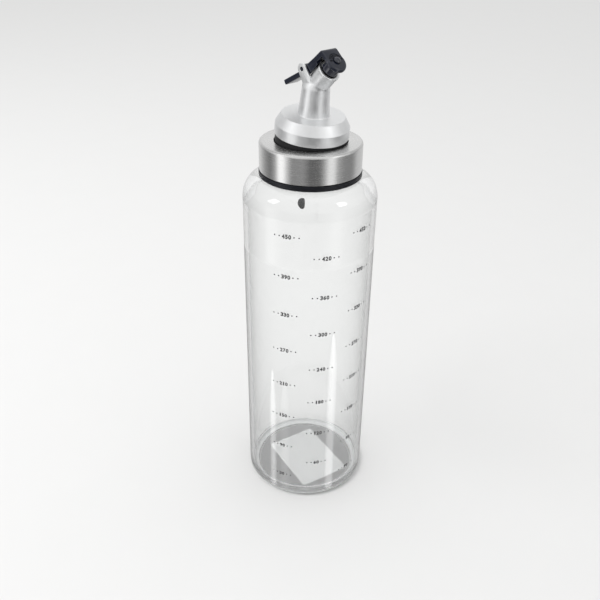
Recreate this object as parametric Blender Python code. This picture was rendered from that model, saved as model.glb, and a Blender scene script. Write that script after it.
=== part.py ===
"""Oil cruet: a glass oil bottle with a brushed steel screw cap and a lever pourer.

Units are metres and +Z is up. The origin is the middle of the bottle's standing face, and the
pourer's mouth points toward +X. The pourer leans a few degrees toward its mouth, so its pieces
are modelled upright round their own axis and hang on an empty that leans.
"""
import math

import bmesh
import bpy
from mathutils import Matrix, Vector

MM = 0.001

# Glass bottle
BOTTLE_RADIUS = 32.5 * MM
BOTTLE_WALL = 2.2 * MM
BASE_THICKNESS = 4.3 * MM
BASE_CORNER = 3.2 * MM
BASE_INNER_CORNER = 3.0 * MM
SHOULDER_START = 168.7 * MM
SHOULDER_HEIGHT = 10.5 * MM
SHOULDER_TOP_RADIUS = 24.0 * MM
NECK_RADIUS = 20.9 * MM
NECK_WALL = 2.6 * MM
NECK_LENGTH = 11.6 * MM
NECK_FILLET = 1.0 * MM
LIP_ROUND = 1.1 * MM

# Blank label in the hollow under the base
LABEL_LENGTH = 39.5 * MM
LABEL_WIDTH = 29.0 * MM
LABEL_THICKNESS = 0.15 * MM
LABEL_TURN = math.radians(-12.4)
LABEL_OFFSET_X = 1.6 * MM
LABEL_OFFSET_Y = 0.4 * MM
LABEL_HOLLOW_RADIUS = 27.6 * MM
LABEL_HOLLOW_DEPTH = 0.8 * MM

# Clearances
SEAT_GAP = 0.3 * MM
THREAD_CLEARANCE = 0.75 * MM
RING_CLEARANCE = 0.3 * MM
STOPPER_CLEARANCE = 2.5 * MM
HOLE_STEP = 0.25 * MM
EAR_CLEARANCE = 0.25 * MM
TRUNNION_CLEARANCE = 0.1 * MM

# Screw cap: steel sleeve over a plastic liner with a silicone gasket
SLEEVE_SHEET = 0.6 * MM
SLEEVE_ROUND = 1.3 * MM
LINER_WALL = 1.8 * MM
LINER_PLATE = 2.0 * MM
LINER_RING_PROUD = 0.23 * MM
LINER_RING_HEIGHT = 2.5 * MM
LINER_RING_ROUND = 0.45 * MM
GASKET_THICKNESS = 1.5 * MM
GASKET_INSET = 0.35 * MM

# Rubber stopper of the pourer
STOPPER_LEDGE = 1.1 * MM
STOPPER_HEAD = 5.2 * MM
STOPPER_CORE_TAPER = 0.3 * MM
STOPPER_RIB_HEIGHT = 0.8 * MM
STOPPER_RIB_PITCH = 3.2 * MM
STOPPER_RIBS = 4
STOPPER_OIL_BORE = 3.8 * MM
STOPPER_OIL_OFFSET = 4.3 * MM

# Metal pourer
POURER_LEAN = math.radians(6.0)
POURER_RISE = 2.9 * MM
COLLAR_RADIUS = 17.3 * MM
COLLAR_BAND = 4.9 * MM
COLLAR_TOP_RADIUS = 14.7 * MM
COLLAR_HEIGHT = 9.3 * MM
COLLAR_WALL = 1.8 * MM
SPIGOT_RADIUS = 8.6 * MM
SPIGOT_WALL = 1.5 * MM
SPIGOT_LENGTH = 7.4 * MM
STEM_BASE_RADIUS = 7.15 * MM
STEM_BASE_FLARE = 0.35 * MM
STEM_TOP_RADIUS = 6.35 * MM
STEM_HEIGHT = 21.0 * MM
STEM_DOME = 6.0 * MM
CHANNEL_DOME = 4.0 * MM
TUBE_ANGLE = math.radians(51.5)
TUBE_RADIUS = 4.95 * MM
MOUTH_RADIUS = 5.1 * MM
MOUTH_BORE = 3.3 * MM
MOUTH_LIP = 0.6 * MM
MOUTH_REACH = 7.0 * MM
MOUTH_HEIGHT = 31.1 * MM
MOUTH_ANGLE = math.radians(55.0)
CHANNEL_RADIUS = 4.2 * MM
TUBE_CHANNEL_RADIUS = 3.4 * MM
PIN_X = -5.0 * MM
PIN_Z = 29.15 * MM
EAR_RADIUS = 2.5 * MM
EAR_THICKNESS = 1.0 * MM
EAR_BACK_FOOT = (-2.9 * MM, 22.6 * MM)
EAR_FRONT_FOOT = (0.4 * MM, 27.2 * MM)
EAR_ROOT = (1.9 * MM, 23.1 * MM)

# Vent tube
VENT_RADIUS = 2.05 * MM
VENT_BORE = 1.35 * MM
VENT_OFFSET = -3.0 * MM
VENT_DEPTH = 39.2 * MM
VENT_PROUD = 2.2 * MM
VENT_CUT = math.radians(27.0)

# Plastic lever
LEVER_WIDTH = 7.8 * MM
KNUCKLE_WIDTH = 8.8 * MM
TAB_LENGTH = 14.4 * MM
TAB_ANGLE = math.radians(35.0)
TAB_DROP = 0.1 * MM
TAB_THICKNESS = 2.3 * MM
BARREL_RADIUS = 1.9 * MM
TRUNNION_RADIUS = 0.85 * MM
TRUNNION_RECESS = 0.3 * MM
ARM_RISE = 0.5 * MM
ARM_THICKNESS = 2.4 * MM
ARM_FLARE_START = 0.3 * MM
KNUCKLE_REACH = 6.7 * MM
KNUCKLE_ROUND = 1.5 * MM
PLATE_RADIUS = 5.1 * MM
PLATE_THICKNESS = 2.2 * MM
PLATE_ROUND = 1.2 * MM
PLATE_UNDER_ROUND = 0.8 * MM
LEVER_BEVEL = 0.35 * MM
SKIRT_WALL = 0.7 * MM
SKIRT_INSET = 0.05 * MM
SKIRT_ROOT = 0.5 * MM
SKIRT_CLEARANCE = 0.5 * MM
SKIRT_START = 2.6 * MM
SKIRT_END = 0.7 * MM

# Silicone plug in the closing plate
PLUG_RADIUS = 3.65 * MM
PLUG_LENGTH = 3.5 * MM
PLUG_SEAT = 0.35 * MM
PLUG_DOME = 5.5 * MM
PLUG_NECK_RADIUS = 1.1 * MM
PLUG_BUTTON_RADIUS = 1.7 * MM
PLUG_BUTTON_HEIGHT = 0.9 * MM

# Roundness of the turned and swept pieces
BOTTLE_SEGMENTS = 48
CAP_SEGMENTS = 48
STOPPER_SEGMENTS = 32
COLLAR_SEGMENTS = 40
STEM_SEGMENTS = 24
SMALL_SEGMENTS = 20
SHARP_ANGLE = math.radians(35.0)
MERGE_DISTANCE = 0.001 * MM

# Heights and sizes that follow from the values above
SHOULDER_TOP = SHOULDER_START + SHOULDER_HEIGHT
BOTTLE_HEIGHT = SHOULDER_TOP + NECK_LENGTH
NECK_BORE = NECK_RADIUS - NECK_WALL
GASKET_BASE = BOTTLE_HEIGHT + SEAT_GAP
LINER_CEILING = GASKET_BASE + GASKET_THICKNESS + SEAT_GAP
LINER_TOP = LINER_CEILING + LINER_PLATE
SLEEVE_CEILING = LINER_TOP + SEAT_GAP
SLEEVE_TOP = SLEEVE_CEILING + SLEEVE_SHEET
LINER_BASE = SHOULDER_TOP + RING_CLEARANCE
SLEEVE_BASE = LINER_BASE + LINER_RING_HEIGHT + SEAT_GAP
LINER_BORE = NECK_RADIUS + THREAD_CLEARANCE
LINER_RADIUS = LINER_BORE + LINER_WALL
SLEEVE_RADIUS = LINER_RADIUS + SEAT_GAP + SLEEVE_SHEET
LINER_RING_RADIUS = SLEEVE_RADIUS + LINER_RING_PROUD
STOPPER_CORE_RADIUS = NECK_BORE - STOPPER_CLEARANCE
STOPPER_HEAD_RADIUS = STOPPER_CORE_RADIUS + STOPPER_LEDGE
CAP_HOLE = STOPPER_HEAD_RADIUS / math.cos(POURER_LEAN) + SEAT_GAP
EAR_INNER = LEVER_WIDTH / 2 + EAR_CLEARANCE
EAR_OUTER = EAR_INNER + EAR_THICKNESS
PIN_BORE = TRUNNION_RADIUS + TRUNNION_CLEARANCE
VENT_HOLE = VENT_RADIUS + SEAT_GAP
SOCKET_RADIUS = SPIGOT_RADIUS + SEAT_GAP
SOCKET_FLOOR = -(SPIGOT_LENGTH + SEAT_GAP)

# Directions in the pourer's plane, as (x, z)
MOUTH = Vector((MOUTH_REACH, MOUTH_HEIGHT))
MOUTH_AXIS = Vector((math.cos(MOUTH_ANGLE), math.sin(MOUTH_ANGLE)))
MOUTH_DOWN = Vector((math.sin(MOUTH_ANGLE), -math.cos(MOUTH_ANGLE)))
TUBE_AXIS = Vector((math.cos(TUBE_ANGLE), math.sin(TUBE_ANGLE)))
ELBOW = MOUTH - TUBE_AXIS * (MOUTH.x / TUBE_AXIS.x)
PIN = Vector((PIN_X, PIN_Z))


def clear_scene():
    """Remove the objects that a new file starts with."""
    for old in list(bpy.data.objects):
        bpy.data.objects.remove(old)


def arc(centre, radius_x, radius_z, start, end, steps):
    """Points of an elliptical arc from one angle to another, in degrees."""
    points = []
    for i in range(steps + 1):
        angle = math.radians(start + (end - start) * i / steps)
        points.append((centre[0] + radius_x * math.cos(angle), centre[1] + radius_z * math.sin(angle)))
    return points


def bow(first, pull, last, steps):
    """Points of a quadratic curve from first to last that leans toward pull."""
    points = []
    for i in range(steps + 1):
        t = i / steps
        weights = ((1 - t) ** 2, 2 * t * (1 - t), t * t)
        points.append(tuple(sum(w * p[k] for w, p in zip(weights, (first, pull, last))) for k in (0, 1)))
    return points


def crossing(point_a, way_a, point_b, way_b):
    """Where two lines in a plane meet, each given by a point and a direction."""
    between = point_b - point_a
    return point_a + way_a * (between.cross(way_b) / way_a.cross(way_b))


def tangent_point(centre, radius, outside, side):
    """Where a line from an outside point touches a circle, on its left (1) or right (-1)."""
    away = outside - centre
    turn = side * math.acos(radius / away.length)
    heading = math.atan2(away.y, away.x) + turn
    return centre + Vector((math.cos(heading), math.sin(heading))) * radius


def finish_mesh(name, bm):
    """Close a bmesh into a smooth-shaded object whose faces point outward."""
    bmesh.ops.remove_doubles(bm, verts=bm.verts, dist=MERGE_DISTANCE)
    bmesh.ops.recalc_face_normals(bm, faces=bm.faces)
    mesh = bpy.data.meshes.new(name)
    bm.to_mesh(mesh)
    bm.free()
    mesh.shade_smooth()
    mesh.set_sharp_from_angle(angle=SHARP_ANGLE)
    made = bpy.data.objects.new(name, mesh)
    bpy.context.collection.objects.link(made)
    return made


def turned(name, profile, segments, ring=False):
    """Spin a profile of (radius, height) points round Z; a ring's profile closes on itself."""
    bm = bmesh.new()
    verts = [bm.verts.new((radius, 0.0, height)) for radius, height in profile]
    edges = [bm.edges.new(pair) for pair in zip(verts, verts[1:])]
    if ring:
        edges.append(bm.edges.new((verts[-1], verts[0])))
    bmesh.ops.spin(bm, geom=verts + edges, cent=(0, 0, 0), axis=(0, 0, 1), angle=math.tau,
                   steps=segments, use_merge=True)
    return finish_mesh(name, bm)


def slab(name, outline, half_width, bevel=0.0):
    """Extrude an outline of (x, z) points across Y, with its long edges bevelled."""
    bm = bmesh.new()
    face = bm.faces.new([bm.verts.new((x, -half_width, z)) for x, z in outline])
    grown = bmesh.ops.extrude_face_region(bm, geom=[face])["geom"]
    moved = [item for item in grown if isinstance(item, bmesh.types.BMVert)]
    bmesh.ops.translate(bm, verts=moved, vec=(0, 2 * half_width, 0))
    if bevel:
        rims = [edge for edge in bm.edges if abs(edge.verts[0].co.y - edge.verts[1].co.y) < half_width]
        bmesh.ops.bevel(bm, geom=rims, offset=bevel, segments=1, profile=0.5, affect="EDGES")
    return finish_mesh(name, bm)


def rod(name, radius, start, end, segments):
    """A plain round bar between two points in space."""
    start = Vector(start)
    end = Vector(end)
    bm = bmesh.new()
    turn = (end - start).to_track_quat("Z", "Y").to_matrix().to_4x4()
    bmesh.ops.create_cone(bm, cap_ends=True, segments=segments, radius1=radius, radius2=radius,
                          depth=(end - start).length, matrix=Matrix.Translation((start + end) / 2) @ turn)
    return finish_mesh(name, bm)


def swept(name, stations, segments):
    """Bridge rings set square to a path in the XZ plane; a station is (point, direction, radius)."""
    bm = bmesh.new()
    loops = []
    for point, way, radius in stations:
        across = Vector((way.y, -way.x))
        ring = []
        for i in range(segments):
            angle = math.tau * i / segments
            spot = point + across * (radius * math.cos(angle))
            ring.append(bm.verts.new((spot.x, radius * math.sin(angle), spot.y)))
        loops.append([bm.edges.new((ring[i - 1], ring[i])) for i in range(segments)])
        if len(loops) == 1 or len(loops) == len(stations):
            bm.faces.new(ring)
    for lower, upper in zip(loops, loops[1:]):
        bmesh.ops.bridge_loops(bm, edges=lower + upper)
    return finish_mesh(name, bm)


def widen(target, start, factor):
    """Stretch a slab across Y where it lies beyond a distance along X."""
    bm = bmesh.new()
    bm.from_mesh(target.data)
    everything = bm.verts[:] + bm.edges[:] + bm.faces[:]
    bmesh.ops.bisect_plane(bm, geom=everything, plane_co=(start, 0, 0), plane_no=(1, 0, 0))
    for vertex in bm.verts:
        if vertex.co.x > start + MERGE_DISTANCE:
            vertex.co.y *= factor
    bm.to_mesh(target.data)
    bm.free()


def combine(target, tool, operation):
    """Join the tool to the target or cut it away, and drop the tool."""
    modifier = target.modifiers.new(operation.lower(), "BOOLEAN")
    modifier.operation = operation
    modifier.object = tool
    seen = target.evaluated_get(bpy.context.evaluated_depsgraph_get())
    result = bpy.data.meshes.new_from_object(seen)
    result.name = target.name
    target.modifiers.clear()
    target.data = result
    bpy.data.objects.remove(tool)


def set_origin(target, place):
    """Move an object's origin to a point and leave its shape where it is."""
    target.data.transform(Matrix.Translation(-Vector(place)))
    target.location = place


def dress(target, colour, roughness, metallic=0.0, glass=0.0):
    """Give an object its own plain material."""
    material = bpy.data.materials.new(target.name)
    material.use_nodes = True
    shader = material.node_tree.nodes["Principled BSDF"]
    shader.inputs["Base Color"].default_value = (*colour, 1.0)
    shader.inputs["Roughness"].default_value = roughness
    shader.inputs["Metallic"].default_value = metallic
    shader.inputs["Transmission Weight"].default_value = glass
    target.data.materials.clear()
    target.data.materials.append(material)


def glass_bottle():
    """Blown bottle: hollow base, straight wall, round shoulder, and a neck that the cap hides."""
    inside = BOTTLE_RADIUS - BOTTLE_WALL
    step = LABEL_HOLLOW_DEPTH
    corner = BASE_CORNER
    shoulder_reach = BOTTLE_RADIUS - SHOULDER_TOP_RADIUS
    fillet_radius = NECK_RADIUS + NECK_FILLET
    bend_radius = SHOULDER_TOP_RADIUS - BOTTLE_WALL * 0.7
    bend_top = SHOULDER_TOP - BOTTLE_WALL * 1.1
    inner_corner = BASE_INNER_CORNER
    outer = [(0.0, step), (LABEL_HOLLOW_RADIUS - step, step), (LABEL_HOLLOW_RADIUS, 0.0)]
    outer += arc((BOTTLE_RADIUS - corner, corner), corner, corner, -90, 0, 4)
    outer += arc((SHOULDER_TOP_RADIUS, SHOULDER_START), shoulder_reach, SHOULDER_HEIGHT, 0, 90, 8)
    outer += arc((fillet_radius, SHOULDER_TOP + NECK_FILLET), NECK_FILLET, NECK_FILLET, -90, -180, 3)
    lip = arc((NECK_RADIUS - LIP_ROUND, BOTTLE_HEIGHT - LIP_ROUND), LIP_ROUND, LIP_ROUND, 0, 90, 3)
    lip += arc((NECK_BORE + LIP_ROUND, BOTTLE_HEIGHT - LIP_ROUND), LIP_ROUND, LIP_ROUND, 90, 180, 3)
    inner = bow((NECK_BORE, SHOULDER_TOP + NECK_FILLET), (NECK_BORE, bend_top), (bend_radius, bend_top), 4)
    inner += arc((bend_radius, SHOULDER_START), inside - bend_radius, bend_top - SHOULDER_START, 90, 0, 6)[1:]
    inner += arc((inside - inner_corner, BASE_THICKNESS + inner_corner), inner_corner, inner_corner, 0, -90, 3)
    inner += [(0.0, BASE_THICKNESS)]
    bottle = turned("glass_bottle", outer + lip + inner, BOTTLE_SEGMENTS)
    dress(bottle, (0.93, 0.96, 0.95), 0.02, glass=1.0)
    return bottle


def base_label():
    """Blank white label in the hollow under the base."""
    top = LABEL_HOLLOW_DEPTH - SEAT_GAP
    size = (LABEL_LENGTH, LABEL_WIDTH, LABEL_THICKNESS)
    bm = bmesh.new()
    bmesh.ops.create_cube(bm, size=1.0, matrix=Matrix.Diagonal((*size, 1.0)))
    label = finish_mesh("base_label", bm)
    label.rotation_euler.z = LABEL_TURN
    label.location = (LABEL_OFFSET_X, LABEL_OFFSET_Y, top - LABEL_THICKNESS / 2)
    dress(label, (0.92, 0.92, 0.9), 0.6)
    return label


def cap_sleeve():
    """Deep-drawn steel cup with a round hole for the pourer."""
    inner_round = SLEEVE_ROUND - SLEEVE_SHEET
    inside = SLEEVE_RADIUS - SLEEVE_SHEET
    profile = [(inside, SLEEVE_BASE), (SLEEVE_RADIUS, SLEEVE_BASE)]
    profile += arc((SLEEVE_RADIUS - SLEEVE_ROUND, SLEEVE_TOP - SLEEVE_ROUND), SLEEVE_ROUND, SLEEVE_ROUND, 0, 90, 4)
    profile += [(CAP_HOLE, SLEEVE_TOP), (CAP_HOLE, SLEEVE_CEILING)]
    profile += arc((inside - inner_round, SLEEVE_CEILING - inner_round), inner_round, inner_round, 90, 0, 2)
    sleeve = turned("cap_sleeve", profile, CAP_SEGMENTS, ring=True)
    dress(sleeve, (0.62, 0.61, 0.6), 0.28, metallic=1.0)
    return sleeve


def cap_liner():
    """Black inner cap whose lower ring shows under the steel sleeve."""
    hole = CAP_HOLE + HOLE_STEP
    ring_top = LINER_BASE + LINER_RING_HEIGHT
    rounding = LINER_RING_ROUND
    outer_round = LINER_RADIUS - SLEEVE_ROUND
    profile = [(LINER_BORE, LINER_BASE)]
    profile += arc((LINER_RING_RADIUS - rounding, LINER_BASE + rounding), rounding, rounding, -90, 0, 2)
    profile += [(LINER_RING_RADIUS, ring_top), (LINER_RADIUS, ring_top)]
    profile += arc((outer_round, LINER_TOP - SLEEVE_ROUND), SLEEVE_ROUND, SLEEVE_ROUND, 0, 90, 3)
    profile += [(hole, LINER_TOP), (hole, LINER_CEILING), (LINER_BORE, LINER_CEILING)]
    liner = turned("cap_liner", profile, CAP_SEGMENTS, ring=True)
    dress(liner, (0.02, 0.02, 0.025), 0.45)
    return liner


def cap_gasket():
    """Silicone washer between the liner and the rim of the bottle."""
    outside = LINER_BORE - GASKET_INSET
    top = GASKET_BASE + GASKET_THICKNESS
    profile = [(NECK_BORE, GASKET_BASE), (outside, GASKET_BASE), (outside, top), (NECK_BORE, top)]
    gasket = turned("cap_gasket", profile, STOPPER_SEGMENTS, ring=True)
    dress(gasket, (0.85, 0.85, 0.82), 0.5)
    return gasket


def stopper():
    """Rubber plug: a plain head in the cap's hole, ribs below it, and a socket for the spigot."""
    top = -SEAT_GAP
    head_base = top - STOPPER_HEAD
    profile = [(SOCKET_RADIUS, top), (STOPPER_HEAD_RADIUS, top), (STOPPER_HEAD_RADIUS, head_base)]
    for i in range(STOPPER_RIBS):
        core = STOPPER_CORE_RADIUS - STOPPER_CORE_TAPER * i
        groove = head_base - STOPPER_RIB_PITCH * (i + 0.25)
        rib = groove - STOPPER_RIB_PITCH / 2
        profile += [(core, groove), (core + STOPPER_RIB_HEIGHT, rib)]
    foot = rib - STOPPER_RIB_PITCH / 2
    profile += [(core, foot), (0.0, foot), (0.0, SOCKET_FLOOR), (SOCKET_RADIUS, SOCKET_FLOOR)]
    plug = turned("stopper", profile[::-1] + [profile[-1]], STOPPER_SEGMENTS)
    for offset, radius in ((STOPPER_OIL_OFFSET, STOPPER_OIL_BORE), (VENT_OFFSET, VENT_HOLE)):
        below = (offset, 0.0, 2 * foot)
        above = (offset, 0.0, SOCKET_FLOOR + SPIGOT_LENGTH / 2)
        combine(plug, rod("bore", radius, below, above, SMALL_SEGMENTS), "DIFFERENCE")
    dress(plug, (0.02, 0.02, 0.022), 0.6)
    return plug


def tube_stations(root_radius, neck_radius, rings):
    """Stations along the mouth tube, then at its rim, where a ring is (distance past it, radius)."""
    neck = MOUTH - TUBE_AXIS * (4 * MOUTH_LIP)
    stations = [(ELBOW, TUBE_AXIS, root_radius), (neck, TUBE_AXIS, neck_radius)]
    return stations + [(MOUTH + MOUTH_AXIS * distance, MOUTH_AXIS, radius) for distance, radius in rings]


def ear_outline():
    """Side outline of a pivot ear: a round lug whose edges run down into the stem and the tube."""
    back = Vector(EAR_BACK_FOOT)
    front = Vector(EAR_FRONT_FOOT)
    left = tangent_point(PIN, EAR_RADIUS, back, -1)
    right = tangent_point(PIN, EAR_RADIUS, front, 1)
    start = math.degrees(math.atan2(left.y - PIN.y, left.x - PIN.x)) % 360
    end = math.degrees(math.atan2(right.y - PIN.y, right.x - PIN.x))
    return arc(PIN, EAR_RADIUS, EAR_RADIUS, start, end, 12) + [tuple(front), EAR_ROOT, tuple(back)]


def pourer_body():
    """Cast metal pourer: collar and spigot, tapered stem, slanted mouth and two pivot ears."""
    spigot_bore = SPIGOT_RADIUS - SPIGOT_WALL
    core_top = COLLAR_HEIGHT - COLLAR_WALL
    edge = COLLAR_WALL / 12
    collar_profile = [(0.0, -SPIGOT_LENGTH), (SPIGOT_RADIUS, -SPIGOT_LENGTH), (SPIGOT_RADIUS, 0.0)]
    collar_profile += [(COLLAR_RADIUS - edge, 0.0), (COLLAR_RADIUS, edge), (COLLAR_RADIUS, COLLAR_BAND)]
    collar_profile += [(COLLAR_TOP_RADIUS, COLLAR_HEIGHT), (0.0, COLLAR_HEIGHT)]
    body = turned("pourer_body", collar_profile, COLLAR_SEGMENTS)

    base = STEM_BASE_RADIUS
    stem = [(0.0, core_top), (base + STEM_BASE_FLARE, core_top), (base + STEM_BASE_FLARE, COLLAR_HEIGHT)]
    stem += [(base, COLLAR_HEIGHT + 2 * STEM_BASE_FLARE)]
    stem += arc((0.0, STEM_HEIGHT), STEM_TOP_RADIUS, STEM_DOME, 0, 90, 7)
    combine(body, turned("stem", stem, STEM_SEGMENTS), "UNION")
    lip = [(-1.5 * MOUTH_LIP, MOUTH_RADIUS), (-MOUTH_LIP, MOUTH_RADIUS), (0.0, MOUTH_RADIUS - MOUTH_LIP)]
    tube = tube_stations(TUBE_RADIUS, TUBE_RADIUS - MOUTH_LIP / 3, lip)
    combine(body, swept("tube", tube, STEM_SEGMENTS), "UNION")

    for side in (-1, 1):
        ear = slab("ear", ear_outline(), EAR_THICKNESS / 2)
        ear.location.y = side * (EAR_INNER + EAR_OUTER) / 2
        combine(body, ear, "UNION")

    wide = MOUTH_BORE + MOUTH_LIP
    flare = [(-MOUTH_LIP, MOUTH_BORE), (0.0, wide), (MOUTH_LIP, wide)]
    channel = tube_stations(TUBE_CHANNEL_RADIUS, MOUTH_BORE, flare)
    combine(body, swept("tube_channel", channel, STEM_SEGMENTS), "DIFFERENCE")
    funnel = [(0.0, -2 * SPIGOT_LENGTH), (spigot_bore, -2 * SPIGOT_LENGTH), (spigot_bore, COLLAR_BAND)]
    funnel += [(CHANNEL_RADIUS, core_top)]
    funnel += arc((0.0, STEM_HEIGHT), CHANNEL_RADIUS, CHANNEL_DOME, 0, 90, 5)
    combine(body, turned("stem_channel", funnel, STEM_SEGMENTS), "DIFFERENCE")

    groove_inner = SPIGOT_RADIUS + COLLAR_WALL
    groove_outer = COLLAR_RADIUS - COLLAR_WALL
    groove = [(groove_inner, -COLLAR_BAND), (groove_outer, -COLLAR_BAND)]
    groove += [(groove_outer, COLLAR_BAND), (groove_inner, COLLAR_BAND)]
    combine(body, turned("groove", groove, COLLAR_SEGMENTS, ring=True), "DIFFERENCE")

    reach = EAR_OUTER + EAR_THICKNESS
    pin_bore = rod("pin_bore", PIN_BORE, (PIN_X, -reach, PIN_Z), (PIN_X, reach, PIN_Z), SMALL_SEGMENTS)
    combine(body, pin_bore, "DIFFERENCE")
    body.data.set_sharp_from_angle(angle=SHARP_ANGLE)
    dress(body, (0.78, 0.78, 0.79), 0.25, metallic=1.0)
    return body


def vent_tube():
    """Air tube pushed up through the stopper, cut slantwise at its lower end."""
    top = SOCKET_FLOOR + VENT_PROUD
    wall = [(VENT_BORE, top), (VENT_RADIUS, top), (VENT_RADIUS, -VENT_DEPTH), (VENT_BORE, -VENT_DEPTH)]
    tube = turned("vent_tube", wall[::-1], SMALL_SEGMENTS, ring=True)
    for vertex in tube.data.vertices:
        if vertex.co.z < -VENT_DEPTH / 2:
            vertex.co.z += (VENT_RADIUS - vertex.co.x) * math.tan(VENT_CUT)
    tube.location.x = VENT_OFFSET
    dress(tube, (0.02, 0.02, 0.022), 0.5)
    return tube


def mouth_turned(name, profile, segments, ring=False):
    """Turn a profile round the mouth's axis, with heights counted from the rim."""
    made = turned(name, profile, segments, ring)
    lay = Matrix.Rotation(math.pi / 2 - MOUTH_ANGLE, 4, "Y")
    made.data.transform(Matrix.Translation((MOUTH.x, 0.0, MOUTH.y)) @ lay)
    return made


def plate_heights():
    """Underside and top of the closing plate above the mouth's rim."""
    underside = PLUG_SEAT + PLUG_LENGTH + SEAT_GAP
    return underside, underside + PLATE_THICKNESS


def arm_frame():
    """Outer corner of the lever's knuckle, and the ways along and up from its arm."""
    underside, top = plate_heights()
    knuckle = MOUTH + MOUTH_AXIS * top - MOUTH_DOWN * KNUCKLE_REACH
    reach = knuckle - PIN
    arm_angle = math.atan2(reach.y, reach.x) - math.asin(ARM_RISE / reach.length)
    arm_way = Vector((math.cos(arm_angle), math.sin(arm_angle)))
    return knuckle, arm_way, Vector((-arm_way.y, arm_way.x))


def lever_outline():
    """Side outline of the lever: thumb tab, pivot barrel, arm, knuckle and closing plate."""
    underside, top = plate_heights()
    knuckle, arm_way, arm_up = arm_frame()
    tab_way = Vector((-math.cos(TAB_ANGLE), -math.sin(TAB_ANGLE)))
    tab_up = Vector((tab_way.y, -tab_way.x))

    tab_tip = PIN + tab_way * TAB_LENGTH - tab_up * TAB_DROP
    tab_joint = PIN + tab_way * math.sqrt(BARREL_RADIUS ** 2 - TAB_DROP ** 2) - tab_up * TAB_DROP
    arm_joint = PIN + arm_way * math.sqrt(BARREL_RADIUS ** 2 - ARM_RISE ** 2) + arm_up * ARM_RISE
    barrel_start = math.degrees(math.atan2(tab_joint.y - PIN.y, tab_joint.x - PIN.x)) % 360
    barrel_end = math.degrees(math.atan2(arm_joint.y - PIN.y, arm_joint.x - PIN.x))

    round_start = knuckle - arm_way * KNUCKLE_ROUND
    round_end = knuckle + MOUTH_DOWN * KNUCKLE_ROUND
    arm_under = PIN + arm_up * (ARM_RISE - ARM_THICKNESS)
    tab_under = tab_tip - tab_up * TAB_THICKNESS
    plate_under = MOUTH + MOUTH_AXIS * underside
    inner_knuckle = crossing(arm_under, arm_way, plate_under, MOUTH_DOWN)
    inner_bend = crossing(arm_under, arm_way, tab_under, tab_way)

    outline = [tuple(tab_tip)]
    outline += arc(PIN, BARREL_RADIUS, BARREL_RADIUS, barrel_start, barrel_end, 8)
    outline += bow(round_start, knuckle, round_end, 4)
    outline += [tuple(MOUTH + MOUTH_AXIS * top), tuple(plate_under)]
    outline += [tuple(inner_knuckle), tuple(inner_bend), tuple(tab_under)]
    return outline


def skirt_outline(inner_side):
    """Side outline of a skirt under the arm, whose lower edge runs along the tube."""
    knuckle, arm_way, arm_up = arm_frame()
    out = Vector((-TUBE_AXIS.y, TUBE_AXIS.x))
    height = math.sqrt(TUBE_RADIUS ** 2 - inner_side ** 2) + SKIRT_CLEARANCE
    back = ELBOW + TUBE_AXIS * SKIRT_START + out * height
    front = MOUTH - TUBE_AXIS * SKIRT_END + out * height
    root = PIN + arm_up * (ARM_RISE - ARM_THICKNESS + SKIRT_ROOT)
    back_top = crossing(root, arm_way, back, out)
    front_top = crossing(root, arm_way, front, out)
    return [tuple(back), tuple(front), tuple(front_top), tuple(back_top)]


def lever():
    """Black lever that turns on moulded trunnions between the ears."""
    underside, top = plate_heights()
    body = slab("lever", lever_outline(), LEVER_WIDTH / 2, bevel=LEVER_BEVEL)
    outer_side = LEVER_WIDTH / 2 - SKIRT_INSET
    inner_side = outer_side - SKIRT_WALL
    for side in (-1, 1):
        skirt = slab("skirt", skirt_outline(inner_side), SKIRT_WALL / 2)
        skirt.data.transform(Matrix.Translation((0, side * (inner_side + outer_side) / 2, 0)))
        combine(body, skirt, "UNION")
    widen(body, ARM_FLARE_START, KNUCKLE_WIDTH / LEVER_WIDTH)
    lower = PLATE_UNDER_ROUND
    disc = [(0.0, underside)]
    disc += arc((PLATE_RADIUS - lower, underside + lower), lower, lower, -90, 0, 2)
    disc += arc((PLATE_RADIUS - PLATE_ROUND, top - PLATE_ROUND), PLATE_ROUND, PLATE_ROUND, 0, 90, 3)
    disc.append((0.0, top))
    combine(body, mouth_turned("disc", disc, STEM_SEGMENTS), "UNION")
    reach = EAR_OUTER - TRUNNION_RECESS
    trunnions = rod("trunnions", TRUNNION_RADIUS, (PIN_X, -reach, PIN_Z), (PIN_X, reach, PIN_Z), SMALL_SEGMENTS)
    combine(body, trunnions, "UNION")
    eye = PLUG_NECK_RADIUS + SEAT_GAP
    cut = [(0.0, underside - eye), (eye, underside - eye), (eye, top + eye), (0.0, top + eye)]
    combine(body, mouth_turned("button_hole", cut, SMALL_SEGMENTS), "DIFFERENCE")
    body.data.set_sharp_from_angle(angle=SHARP_ANGLE)
    set_origin(body, (PIN_X, 0.0, PIN_Z))
    dress(body, (0.025, 0.025, 0.03), 0.35)
    return body


def mouth_plug():
    """Silicone plug with a domed nose, held in the plate by a button on a neck."""
    underside, top = plate_heights()
    shoulder = underside - SEAT_GAP
    button = top + SEAT_GAP
    half_nose = math.degrees(math.asin(PLUG_RADIUS / PLUG_DOME))
    dome_centre = PLUG_SEAT + math.sqrt(PLUG_DOME ** 2 - PLUG_RADIUS ** 2)
    profile = arc((0.0, dome_centre), PLUG_DOME, PLUG_DOME, -90, -90 + half_nose, 4)
    profile += [(PLUG_RADIUS, shoulder), (PLUG_NECK_RADIUS, shoulder), (PLUG_NECK_RADIUS, button)]
    profile += arc((0.0, button), PLUG_BUTTON_RADIUS, PLUG_BUTTON_HEIGHT, 0, 90, 4)
    plug = mouth_turned("mouth_plug", profile, SMALL_SEGMENTS)
    dress(plug, (0.03, 0.03, 0.035), 0.5)
    return plug


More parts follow.
